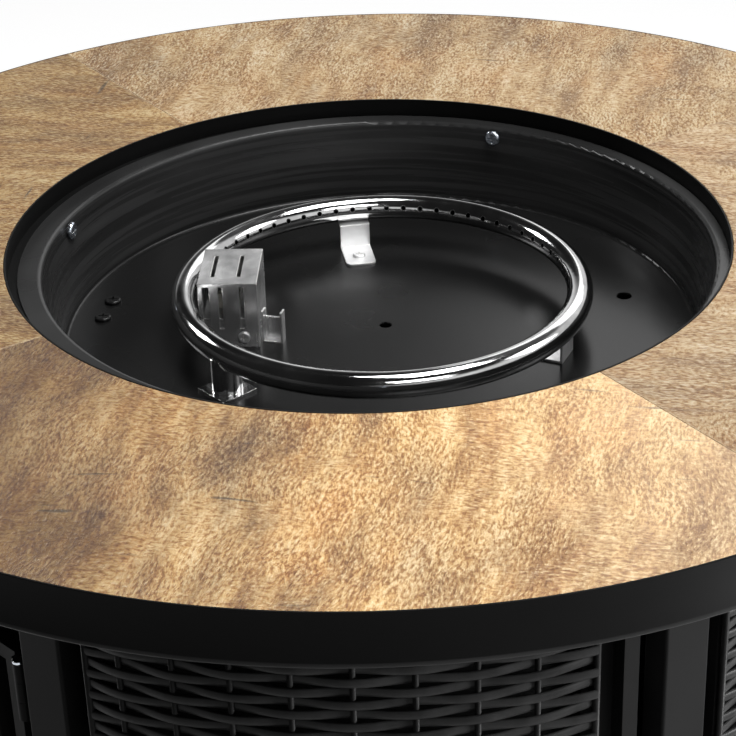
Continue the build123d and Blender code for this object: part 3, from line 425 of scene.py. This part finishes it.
# %% [markdown]
# ## Finishing a piece
# A piece that is made here rides on one of the frame's bodies and stands in for the plain node of
# the frame. Both ways of making a piece, from a bmesh and from a geometry tree, end with the same
# lines.

# %% Helpers for pieces
def finished(name, mesh, body, slot, *replaced):
    """Object for a mesh that rides on a body and replaces the frame's own nodes."""
    piece = new_object(name, mesh)
    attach(piece, body)
    if replaced:
        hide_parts(*replaced)
    return piece


def place_mesh(name, build, body, slot, material, *replaced):
    """Turn a bmesh into a finished piece on a body."""
    mesh = bpy.data.meshes.new(name)
    bmesh.ops.recalc_face_normals(build, faces=build.faces)
    build.to_mesh(mesh)
    build.free()
    mesh.materials.append(material)
    return finished(name, mesh, body, slot, *replaced)


# %% [markdown]
# ## The four tiles
# Four quarters meet in seams that point to the table's centre. A plain sector with sharp edges
# would look printed on, so each quarter is cut here as one flat outline, thickened, and bevelled
# along its top edges, and the seams between them are hairlines. The outline has two arcs, and its
# straight sides run half a hairline away from the seam. Each quarter is given by its middle's angle
# from the first seam, a seed for its noise, its tone and the strength of its painted shade. The
# tones are partly the print's own and partly a painted sheen, which makes the front quarter palest.

# %% Tiles
# Tones: partly print, partly painted sheen. Last number: strength of the painted shade.
tile_looks = {
    "tile_front": (225, 1, paint(254, 248, 238), 0.95),
    "tile_right": (315, 2, paint(196, 197, 205), 0.0),
    "tile_back": (45, 3, paint(199, 201, 208), 0.0),
    "tile_left": (135, 4, paint(205, 202, 190), 0.3),
}
tile_outer = table_radius - 1.5 * MM
tile_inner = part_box("trim_band")[1].x + 0.2 * MM
hairline = 0.25 * MM
tile_bevel = 0.45 * MM
arc_steps = 96


def sector_outline(inner, outer, middle, gap, steps):
    """Corner points of a quarter ring whose straight sides keep half a gap from the seams."""
    points = []
    for radius, order in ((outer, 1), (inner, -1)):
        spare = math.degrees(math.asin(gap / 2 / radius))
        half = 45 - spare
        angles = [middle + order * half * (2 * step / steps - 1) for step in range(steps + 1)]
        points += [(radius * math.cos(math.radians(a)), radius * math.sin(math.radians(a))) for a in angles]
    return points


def bevelled_tile(name, middle, material):
    """One quarter of the top with softened upper edges."""
    low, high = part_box(name)
    build = bmesh.new()
    outline = sector_outline(tile_inner, tile_outer, middle, hairline, arc_steps)
    base = build.faces.new([build.verts.new((x, y, low.z)) for x, y in outline])
    lifted = bmesh.ops.extrude_face_region(build, geom=[base])["geom"]
    corners = [v for v in lifted if isinstance(v, bmesh.types.BMVert)]
    bmesh.ops.translate(build, verts=corners, vec=(0, 0, high.z - low.z))
    middle_height = (low.z + high.z) / 2
    top = [e for e in build.edges if all(v.co.z > middle_height for v in e.verts)]
    bmesh.ops.bevel(build, geom=top, offset=tile_bevel, segments=2, affect="EDGES", profile=0.5)
    return place_mesh(name.replace("tile", "bevelled_tile"), build, "root", slot_of[name], material, name)


for name, (middle, seed, tone, shade) in tile_looks.items():
    angle = seam_angle + middle
    tile = bevelled_tile(name, angle, tile_material("wood_look_" + name, angle, seed, tone, shade))
    print(tile.name, "has", len(tile.data.polygons), "faces, grain at", round(angle % 360, 1))

# %% [markdown]
# ## Black coats and paint
# Besides the woven resin, three blacks are on this object: the dull powder coat of the frame, rim
# and trim, the heat-proof paint of the bowl, which is smoother and mirrors the burner softly, and
# the moulded plastics. A powder coat sets in tiny even pebbles, so it gets a fine bump. Paint
# rubbed by handling turns a little shinier in places, so its roughness wanders.

# %% Black coats
def coat_material(name, level, roughness, spread, pebble, bump_depth, specular=0.5):
    """Black coat: level is its screen grey, spread how far the roughness wanders."""
    material, tree, shader, place = start_material(name, roughness)
    shader.inputs["Specular IOR Level"].default_value = specular
    wander = noise(tree, place, 9.0, detail=5.0)
    tone = ramp(tree, wander, [(0.3, grey(level * 0.85)), (0.7, grey(level * 1.15))])
    tree.links.new(tone, shader.inputs["Base Color"])
    gloss = scaled(tree, wander, 0.3, 0.7, roughness - spread, roughness + spread)
    tree.links.new(gloss, shader.inputs["Roughness"])
    bumped(tree, shader, noise(tree, place, pebble, detail=2.0), 0.35, bump_depth, 0.5 * MM)
    return material


trim_coat = coat_material("trim_powder_coat", 7, 0.50, 0.05, 1400.0, 0.08 * MM, 0.12)
frame_coat = coat_material("frame_powder_coat", 27, 0.50, 0.06, 1200.0, 0.1 * MM, 0.03)
moulded_black = coat_material("moulded_black_plastic", 24, 0.55, 0.05, 1600.0, 0.1 * MM, 0.4)
knob_black = coat_material("knob_black_plastic", 26, 0.48, 0.05, 1500.0, 0.1 * MM, 0.4)

# %% [markdown]
# ## The bowl's paint
# A spun bowl keeps faint rings from the tool on its wall, and the paint flows level on its floor.
# So the rings are a noise that changes quickly with height and hardly at all in X and Y, and they
# fade out at the foot of the wall. They change the gloss and the tone a little, which is what turns
# a reflection into the streaks that run round the far wall, so their tone is partly a painted
# reflection. The wall is also painted lighter than the floor, though both have the same paint:
# that is painted light on the wall.

# %% Bowl paint
wall_foot = table_top - 60 * MM
foot_blend = 3 * MM


def bowl_material():
    """Spun and painted bowl: faint rings on a wall painted lighter as painted light, and a smooth floor."""
    material, tree, shader, place = start_material("bowl_heat_paint", 0.3)
    shader.inputs["Specular IOR Level"].default_value = 0.2
    wander = noise(tree, place, 6.0, detail=4.0)
    level = split(tree, place)["Z"]
    on_wall = scaled(tree, level, wall_foot - foot_blend, wall_foot + foot_blend, 0.0, 1.0)
    rings = noise(tree, place, 260.0, (0.02, 0.02, 1.0), 3.0)
    tone = ramp(tree, wander, [(0.3, grey(14)), (0.7, grey(19))])
    # Real rings on a wall painted lighter as painted light, their streaks partly a painted reflection.
    rings_and_painted_light = ramp(tree, rings, [(0.3, grey(26)), (0.5, grey(36)), (0.7, grey(48))])
    tree.links.new(mix(tree, on_wall, tone, rings_and_painted_light), shader.inputs["Base Color"])
    banding = calc(tree, "MULTIPLY", scaled(tree, rings, 0.35, 0.65, -0.08, 0.10), on_wall)
    gloss = calc(tree, "ADD", scaled(tree, wander, 0.3, 0.7, 0.22, 0.29), banding)
    tree.links.new(gloss, shader.inputs["Roughness"])
    bumped(tree, shader, noise(tree, place, 900.0, detail=2.0), 0.15, 0.05 * MM)
    return material


bowl_paint = bowl_material()

# %% [markdown]
# ## Steel, zinc, aluminium and brass
# Bare metals take their look from roughness more than from colour. Polished stainless is almost a
# mirror with faint smears, the brackets and the pilot's hood are sheet with a one-way grain, zinc
# screws are slightly blue and mottled, and a cast valve body is grainy and dull. Edges get a painted
# highlight: the Bevel node gives the normal of a rounded edge, and where that differs from the
# face's own normal, an edge is near, so the metal there is painted lighter.

# %% Bare metals
every_way = (1, 1, 1)
one_way = (1, 0.3, 0.3)
upright = (1, 1, 0.06)


def metal_material(
        name, colour, roughness, spread, grain, stretch, bump_depth, worn, edge=0.45 * MM, metallic=1.0):
    """Bare metal: grain sets the size of its marks, stretch their direction, worn its dark smears."""
    material, tree, shader, place = start_material(name, roughness, metallic)
    smear = noise(tree, place, 22.0, detail=5.0)
    marks = noise(tree, place, grain, stretch, 3.0, 0.6)
    darker = tuple(channel * (1 - worn) for channel in colour[:3]) + (1.0,)
    rounded = add(tree, "ShaderNodeBevel", {"Radius": edge}, samples=4).outputs[0]
    facing = add(tree, "ShaderNodeNewGeometry").outputs["Normal"]
    same = vector_calc(tree, "DOT_PRODUCT", rounded, facing)["Value"]
    # Painted highlight along the edges.
    painted_edge_highlight = scaled(tree, same, 0.86, 0.99, 0.85, 0.0)
    tone = ramp(tree, smear, [(0.38, darker), (0.60, colour)])
    tone = mix(tree, painted_edge_highlight, tone, paint(250, 248, 244))
    tree.links.new(tone, shader.inputs["Base Color"])
    both = calc(tree, "ADD", smear, marks)
    gloss = scaled(tree, both, 0.7, 1.3, roughness - spread, roughness + spread)
    tree.links.new(gloss, shader.inputs["Roughness"])
    bumped(tree, shader, marks, 0.2, bump_depth, edge)
    return material


mirror_polish = (grey(206), 0.09, 0.04, 90.0, every_way, 0.05 * MM, 0.35, 0.8 * MM)
polished = metal_material("polished_stainless", *mirror_polish)
mill_sheet = metal_material(
    "mill_stainless", grey(240), 0.36, 0.12, 160.0, one_way, 0.06 * MM, 0.4, 0.6 * MM, 0.75)
hood_sheet = metal_material(
    "hood_stainless", grey(236), 0.22, 0.09, 120.0, one_way, 0.08 * MM, 0.5, 0.7 * MM, 0.75)
zinc = metal_material("zinc_plate", paint(205, 212, 222), 0.22, 0.07, 1500.0, every_way, 0.02 * MM, 0.2)
cast_grey = metal_material("cast_aluminium", grey(178), 0.48, 0.08, 1300.0, every_way, 0.12 * MM, 0.2)
machined_brass = metal_material(
    "machined_brass", paint(214, 178, 96), 0.28, 0.07, 1800.0, upright, 0.01 * MM, 0.2)

# %% [markdown]
# ## The ring's ports
# The burner ring is drilled with a row of small ports on its inner side, a little above its middle.
# The holes are in the solid already, but a bright mirror finish inside a hole hides it. So each port
# gets painted shade: black paint stands in for the dark inside the hole. The material works out how
# far a point is from the nearest port's axis: round the ring from the angle, and across it from the
# section.

# %% Ring with painted shade in its ports
port_count = 64
port_lift = math.radians(18.0)
port_shade_radius = 1.6 * MM


def paint_port_shade(material):
    """Painted shade: blacken the ring's material within the set radius of each port's axis."""
    low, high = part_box("burner_ring")
    tube = (high.z - low.z) / 2
    centre = (low + high) / 2
    ring_radius = (high.x - low.x) / 2 - tube
    tree = material.node_tree
    shader = tree.nodes["Principled BSDF"]
    place = add(tree, "ShaderNodeTexCoord").outputs["Object"]
    parts = split(tree, vector_calc(tree, "SUBTRACT", place, tuple(centre))[0])
    flat = add(tree, "ShaderNodeCombineXYZ", {"X": parts["X"], "Y": parts["Y"]}).outputs[0]
    out = vector_calc(tree, "LENGTH", flat)["Value"]
    angle = calc(tree, "ARCTAN2", parts["Y"], parts["X"])
    number = calc(tree, "MULTIPLY", angle, port_count / (2 * math.pi))
    spot = calc(tree, "SUBTRACT", calc(tree, "FRACT", number), 0.5)
    round_ring = calc(tree, "MULTIPLY", spot, 2 * math.pi / port_count * ring_radius)
    off = calc(tree, "SUBTRACT", out, ring_radius)
    sine, cosine = math.sin(port_lift), math.cos(port_lift)
    above = calc(tree, "MULTIPLY", parts["Z"], cosine)
    across = calc(tree, "ADD", calc(tree, "MULTIPLY", off, sine), above)
    inward = calc(tree, "MULTIPLY", off, cosine)
    inward = calc(tree, "SUBTRACT", calc(tree, "MULTIPLY", parts["Z"], sine), inward)
    squares = [calc(tree, "POWER", length, 2.0) for length in (round_ring, across)]
    away = calc(tree, "SQRT", calc(tree, "ADD", *squares))
    # Painted shade in and round each port.
    near = scaled(tree, away, port_shade_radius, port_shade_radius * 1.25, 1.0, 0.0)
    port_shade = calc(tree, "MULTIPLY", near, calc(tree, "GREATER_THAN", inward, 0.0))
    bare = shader.inputs["Base Color"].links[0].from_socket
    tree.links.new(mix(tree, port_shade, bare, grey(3)), shader.inputs["Base Color"])
    dull = shader.inputs["Roughness"].links[0].from_socket
    tree.links.new(calc(tree, "MULTIPLY_ADD", port_shade, 0.6, dull), shader.inputs["Roughness"])
    print("ring radius", round(ring_radius, 4), "tube radius", round(tube, 4), "with", port_count, "ports")


ring_steel = metal_material("ring_stainless", *mirror_polish)
paint_port_shade(ring_steel)

# %% [markdown]
# ## Glazed ceramic
# The spark electrode sits in a white ceramic tube. Real glaze isn't a clean white: it has fine
# specks and a slight unevenness that bends its highlight.

# %% Ceramic
def ceramic_material():
    """Glazed white ceramic with faint specks."""
    material, tree, shader, place = start_material("glazed_ceramic", 0.18)
    specks = noise(tree, place, 1800.0, detail=2.0)
    tone = ramp(tree, specks, [(0.25, paint(170, 160, 140)), (0.36, paint(226, 221, 208))])
    tree.links.new(tone, shader.inputs["Base Color"])
    bumped(tree, shader, noise(tree, place, 300.0, detail=2.0), 0.1, 0.1 * MM)
    return material


ceramic = ceramic_material()

# %% [markdown]
# ## Dressing the plain nodes
# The frame's record already says which finish each node has, as a slot name. So one table from
# slot to material dresses every node whose shape is right as it is. The ring then gets its steel
# with painted shade in the ports, and the folded sheets of the pilot burner get theirs.

# %% Dress the frame
finish_of_slot = {
    "black_trim": trim_coat,
    "black_bowl": bowl_paint,
    "polished_steel": polished,
    "brushed_steel": mill_sheet,
    "zinc_screw": zinc,
    "cast_aluminium": cast_grey,
    "brass": machined_brass,
    "ceramic": ceramic,
    "black_knob": knob_black,
    "black_plastic": moulded_black,
    "black_frame": frame_coat,
}
for name in nodes:
    if slot_of[name] in finish_of_slot:
        dress(name, finish_of_slot[slot_of[name]])
dress("burner_ring", ring_steel)
for name in ("pilot_hood", "pilot_shelf", "pilot_bracket"):
    dress(name, hood_sheet)
print("slots dressed:", sorted(finish_of_slot))

# %% [markdown]
# ## The rolled edge of the top
# The steel band round the top isn't cut off square. Its lower edge is rolled into a bead that stands
# half a millimetre proud, and catches the light as one thin line all the way round. A band like
# this is a turned shape, so it is made as a closed outline, spun about the table's axis in steps.

# %% Spun bands
spin_steps = 360
crease = math.radians(40)


def arc_points(centre, radius, start, end, steps):
    """Points (radius, height) along an arc, in degrees."""
    angles = [math.radians(start + (end - start) * step / steps) for step in range(steps + 1)]
    return [(centre[0] + radius * math.cos(a), centre[1] + radius * math.sin(a)) for a in angles]


def spun(name, outline, body, slot, material, *replaced):
    """Closed outline of (radius, height) points spun about the table's axis."""
    build = bmesh.new()
    rings = []
    for step in range(spin_steps):
        angle = 2 * math.pi * step / spin_steps
        rings.append([build.verts.new((r * math.cos(angle), r * math.sin(angle), z)) for r, z in outline])
    for step in range(spin_steps):
        here, there = rings[step], rings[(step + 1) % spin_steps]
        for index in range(len(outline)):
            after = (index + 1) % len(outline)
            face = build.faces.new([here[index], there[index], there[after], here[after]])
            face.smooth = True
    for edge in build.edges:
        if edge.calc_face_angle(0.0) > crease:
            edge.smooth = False
    return place_mesh(name, build, body, slot, material, *replaced)


# %% [markdown]
# ## The rim's coat and section
# The coat is dull on the rim's face and smoother on the bead, and the bead is painted lighter as a
# painted highlight. The section goes round from the small round at the top, down the inside of the
# sheet, along the return, and back up over the bead.

# %% Rolled rim
def rim_material():
    """Powder coat of the rim: dull on its face, smoother on the rolled bead, which has a painted highlight.
    """
    material, tree, shader, place = start_material("rim_powder_coat", 0.5)
    shader.inputs["Specular IOR Level"].default_value = 0.05
    bead_top = rim_low.z + 3.2 * MM
    on_bead = scaled(tree, split(tree, place)["Z"], bead_top - 0.6 * MM, bead_top, 1.0, 0.0)
    wander = noise(tree, place, 9.0, detail=5.0)
    face = ramp(tree, wander, [(0.3, grey(11)), (0.7, grey(15))])
    # Painted highlight: the bead is painted lighter than the face.
    bead = ramp(tree, wander, [(0.3, grey(38)), (0.7, grey(50))])
    tree.links.new(mix(tree, on_bead, face, bead), shader.inputs["Base Color"])
    gloss = calc(tree, "MULTIPLY_ADD", on_bead, -0.14, scaled(tree, wander, 0.3, 0.7, 0.46, 0.54))
    tree.links.new(gloss, shader.inputs["Roughness"])
    bumped(tree, shader, noise(tree, place, 1400.0, detail=2.0), 0.35, 0.08 * MM)
    return material


def rim_outline():
    """Section of the steel band: small round above, rolled bead and return below."""
    low, high = rim_low.z, rim_high.z
    sheet, top_round, bead, proud = 1.2 * MM, 0.5 * MM, 1.7 * MM, 0.5 * MM
    slope, return_width = 2 * MM, 12 * MM
    face = table_radius - proud
    meets = math.degrees(math.acos((bead - proud) / bead))
    outline = arc_points((face - top_round, high - top_round), top_round, 0, 90, 4)
    outline += [(face - sheet, high), (face - sheet, low + 2 * bead)]
    outline += [(face - sheet - slope, low + sheet), (table_radius - return_width, low + sheet)]
    outline += [(table_radius - return_width, low)]
    return outline + arc_points((table_radius - bead, low + bead), bead, -90, meets, 10)


rim = spun("rolled_rim", rim_outline(), "root", "black_trim", rim_material(), "rim_band")
print("rim has", len(rim.data.polygons), "faces")

# %% [markdown]
# ## The resin strands
# Each side is a plain weave of flat black resin strands over upright stakes. Extruded resin has
# fine lines along its length, a dull skin and a tone that wanders a little. The strands run round
# the table, so lines that change almost only with height follow them.

# %% Resin material
def strand_material():
    """Black resin strand: fine lengthwise lines, a dull skin and a wandering tone."""
    material, tree, shader, place = start_material("resin_strand", 0.42)
    shader.inputs["Specular IOR Level"].default_value = 0.07
    lines = noise(tree, place, 1100.0, (0.03, 0.03, 1.0), 3.0)
    wander = noise(tree, place, 60.0, detail=3.0)
    tone = ramp(tree, wander, [(0.3, grey(30)), (0.7, grey(48))])
    tree.links.new(tone, shader.inputs["Base Color"])
    tree.links.new(scaled(tree, lines, 0.3, 0.7, 0.32, 0.46), shader.inputs["Roughness"])
    bumped(tree, shader, lines, 0.4, 0.15 * MM)
    return material


resin = strand_material()

# %% [markdown]
# ## A tree that weaves
# A picture of a weave can't give its outline at the edges, so the strands are real, and what
# repeats by a rule suits Geometry Nodes. The tree draws an arc, bends it in and out with a cosine
# that peaks at every stake, gives it an oval section, and stacks such strands up the panel. Every
# second row has the cosine the other way round. Its inputs are the sizes, so all the panels use
# one tree.

# %% Geometry tree helpers
def new_tree(name, inputs):
    """Geometry Nodes tree with named inputs, listed under their socket type."""
    tree = bpy.data.node_groups.new(name, "GeometryNodeTree")
    tree.interface.new_socket("Geometry", in_out="OUTPUT", socket_type="NodeSocketGeometry")
    for kind, labels in inputs.items():
        for label in labels:
            tree.interface.new_socket(label, in_out="INPUT", socket_type=kind)
    return tree, tree.nodes.new("NodeGroupInput").outputs, tree.nodes.new("NodeGroupOutput")


def grown(name, tree, values, body, slot, *replaced):
    """Run a tree on an empty mesh, keep the result as a plain mesh and put it on a body."""
    source = new_object(name + "_source", bpy.data.meshes.new(name + "_source"))
    modifier = source.modifiers.new("tree", "NODES")
    modifier.node_group = tree
    for item in tree.interface.items_tree:
        if item.item_type == "SOCKET" and item.in_out == "INPUT" and item.name in values:
            modifier[item.identifier] = values[item.name]
    shown = source.evaluated_get(bpy.context.evaluated_depsgraph_get())
    mesh = bpy.data.meshes.new_from_object(shown)
    bpy.data.objects.remove(source)
    mesh.name = name
    print(name, "has", len(mesh.polygons), "faces")
    return finished(name, mesh, body, slot, *replaced)


# %% [markdown]
# ## Stakes and strands
# A stake is one cylinder, set by instancing at each angle. A strand is one curve that is swept with
# an oval. Both are drawn with few sides, because they come back hundreds of times.

# %% Stakes and strands
round_sides = 10


def oval_section(tree, width, thickness):
    """Oval curve, width tall and thickness deep, that a strand is swept along."""
    ring = add(tree, "GeometryNodeCurvePrimitiveCircle", {
        "Resolution": round_sides, "Radius": 0.5}, mode="RADIUS")
    size = add(tree, "ShaderNodeCombineXYZ", {"X": thickness, "Y": width, "Z": 1.0}).outputs[0]
    return add(tree, "GeometryNodeTransform", {"Geometry": ring.outputs[0], "Scale": size}).outputs[0]


def upright_stakes(tree, given, count, step, start, radius):
    """Cylinders from the bottom to the top of the panel, step radians apart."""
    stake = add(tree, "GeometryNodeMeshCylinder", {
        "Vertices": round_sides, "Radius": radius, "Depth": given["Height"]})
    middle = calc(tree, "MULTIPLY_ADD", given["Height"], 0.5, given["Low"])
    numbers = add(tree, "GeometryNodeMeshLine", {"Count": count}, mode="OFFSET")
    index = add(tree, "GeometryNodeInputIndex").outputs[0]
    angle = calc(tree, "MULTIPLY_ADD", index, step, start)
    across = calc(tree, "MULTIPLY", calc(tree, "COSINE", angle), given["Radius"])
    ahead = calc(tree, "MULTIPLY", calc(tree, "SINE", angle), given["Radius"])
    spot = add(tree, "ShaderNodeCombineXYZ", {"X": across, "Y": ahead, "Z": middle}).outputs[0]
    spots = add(tree, "GeometryNodeSetPosition", {"Geometry": numbers.outputs[0], "Position": spot})
    stakes = add(tree, "GeometryNodeInstanceOnPoints", {
        "Points": spots.outputs[0], "Instance": stake.outputs[0]})
    return stakes.outputs[0]


def woven_strand(tree, given, section, phase):
    """One strand round the panel: out in front of one stake and in behind the next."""
    arc = add(tree, "GeometryNodeCurveArc", {
        "Resolution": given["Steps"], "Radius": given["Radius"],
        "Start Angle": given["Start"], "Sweep Angle": given["Sweep"]}, mode="RADIUS")
    along = add(tree, "GeometryNodeSplineParameter").outputs["Factor"]
    angle = calc(tree, "MULTIPLY_ADD", along, given["Sweep"], given["Start"])
    stakes = calc(tree, "DIVIDE", calc(tree, "SUBTRACT", angle, given["Stake start"]), given["Stake pitch"])
    wave = calc(tree, "COSINE", calc(tree, "MULTIPLY_ADD", stakes, math.pi, phase))
    out = calc(tree, "MULTIPLY", wave, given["Swing"])
    place = add(tree, "GeometryNodeInputPosition").outputs[0]
    outward = vector_calc(tree, "NORMALIZE", place)[0]
    move = add(tree, "ShaderNodeVectorMath", {0: outward, "Scale": out}, operation="SCALE").outputs[0]
    bent = add(tree, "GeometryNodeSetPosition", {"Geometry": arc.outputs[0], "Offset": move})
    level = add(tree, "GeometryNodeSetCurveNormal", {"Curve": bent.outputs[0]}, mode="Z_UP")
    return add(tree, "GeometryNodeCurveToMesh", {
        "Curve": level.outputs[0], "Profile Curve": section, "Fill Caps": True}).outputs[0]


# %% [markdown]
# ## The whole tree
# Strands are instanced upwards at twice the row pitch, once for each of the two kinds of row. The
# rows are joined with the stakes and with two thicker end stakes, made real, smoothed and given
# their material. Every input is filled for each panel, so the tree holds no sizes of its own.

# %% The weave's tree
end_stake_share = 1.25


def weave_tree():
    """Strands that pass over and under upright stakes on a round panel."""
    tree, given, result = new_tree("weave", {
        "NodeSocketFloat": (
            "Radius", "Start", "Sweep", "Low", "Height", "Row pitch", "Stake pitch", "Stake start",
            "Stake radius", "Swing", "Strand width", "Strand thickness"),
        "NodeSocketInt": ("Rows", "Stakes", "Steps"),
        "NodeSocketMaterial": ("Material",)})
    joined = tree.nodes.new("GeometryNodeJoinGeometry")
    section = oval_section(tree, given["Strand width"], given["Strand thickness"])
    double = calc(tree, "MULTIPLY", given["Row pitch"], 2.0)
    count = calc(tree, "FLOOR", calc(tree, "DIVIDE", given["Rows"], 2.0))
    step = add(tree, "ShaderNodeCombineXYZ", {"Z": double}).outputs[0]
    for row_shift, phase in ((0.5, 0.0), (1.5, math.pi)):
        strand = woven_strand(tree, given, section, phase)
        first = calc(tree, "MULTIPLY_ADD", given["Row pitch"], row_shift, given["Low"])
        start = add(tree, "ShaderNodeCombineXYZ", {"Z": first}).outputs[0]
        rows = add(tree, "GeometryNodeMeshLine", {
            "Count": count, "Start Location": start, "Offset": step}, mode="OFFSET")
        stack = add(tree, "GeometryNodeInstanceOnPoints", {"Points": rows.outputs[0], "Instance": strand})
        tree.links.new(stack.outputs[0], joined.inputs[0])
    stakes = upright_stakes(
        tree, given, given["Stakes"], given["Stake pitch"], given["Stake start"], given["Stake radius"])
    end_radius = calc(tree, "MULTIPLY", given["Stake radius"], end_stake_share)
    ends = upright_stakes(tree, given, 2, given["Sweep"], given["Start"], end_radius)
    for part in (stakes, ends):
        tree.links.new(part, joined.inputs[0])
    real = add(tree, "GeometryNodeRealizeInstances", {"Geometry": joined.outputs[0]})
    smooth = add(tree, "GeometryNodeSetShadeSmooth", {"Geometry": real.outputs[0]})
    finish = add(tree, "GeometryNodeSetMaterial", {
        "Geometry": smooth.outputs[0], "Material": given["Material"]})
    tree.links.new(finish.outputs[0], result.inputs[0])
    return tree


weave = weave_tree()

# %% [markdown]
# ## Weaving the five skins
# Four sides and the door have the same weave. Each skin leaves a bare strip at its right end, where
# the steel tray shows as an open channel. The middles of the panels are written in degrees round
# the table, and so are the field's ends and the stakes, from each panel's middle. The height of
# each panel comes from the plain node that the weave replaces.

# %% Weave every panel
panel_middle = {"side_wicker_1": 267.5, "door_wicker": 195.5, "side_wicker_3": 123.5,
                "side_wicker_4": 51.5, "side_wicker_5": 339.5}
weave_radius = 301.5 * MM
field_left, field_right = -29.9, 25.0
stake_start, stake_pitch, stake_count = -25.65, 6.3, 8
stake_radius = 1.7 * MM
row_pitch = 7.3 * MM
strand_width, strand_thickness, strand_swing = 6.5 * MM, 2.2 * MM, 1.5 * MM
strand_steps = 56
for name, middle in panel_middle.items():
    low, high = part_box(name)
    height = high.z - low.z
    grown(
        name.replace("wicker", "weave"), weave, {
            "Radius": weave_radius, "Start": math.radians(middle + field_left),
            "Sweep": math.radians(field_right - field_left), "Low": low.z,
            "Rows": int(height / row_pitch), "Row pitch": row_pitch,
            "Stake pitch": math.radians(stake_pitch), "Stake start": math.radians(middle + stake_start),
            "Stakes": stake_count, "Stake radius": stake_radius, "Height": height,
            "Strand width": strand_width, "Strand thickness": strand_thickness, "Swing": strand_swing,
            "Steps": strand_steps, "Material": resin},
        "door" if name == "door_wicker" else "root", "black_wicker", name)
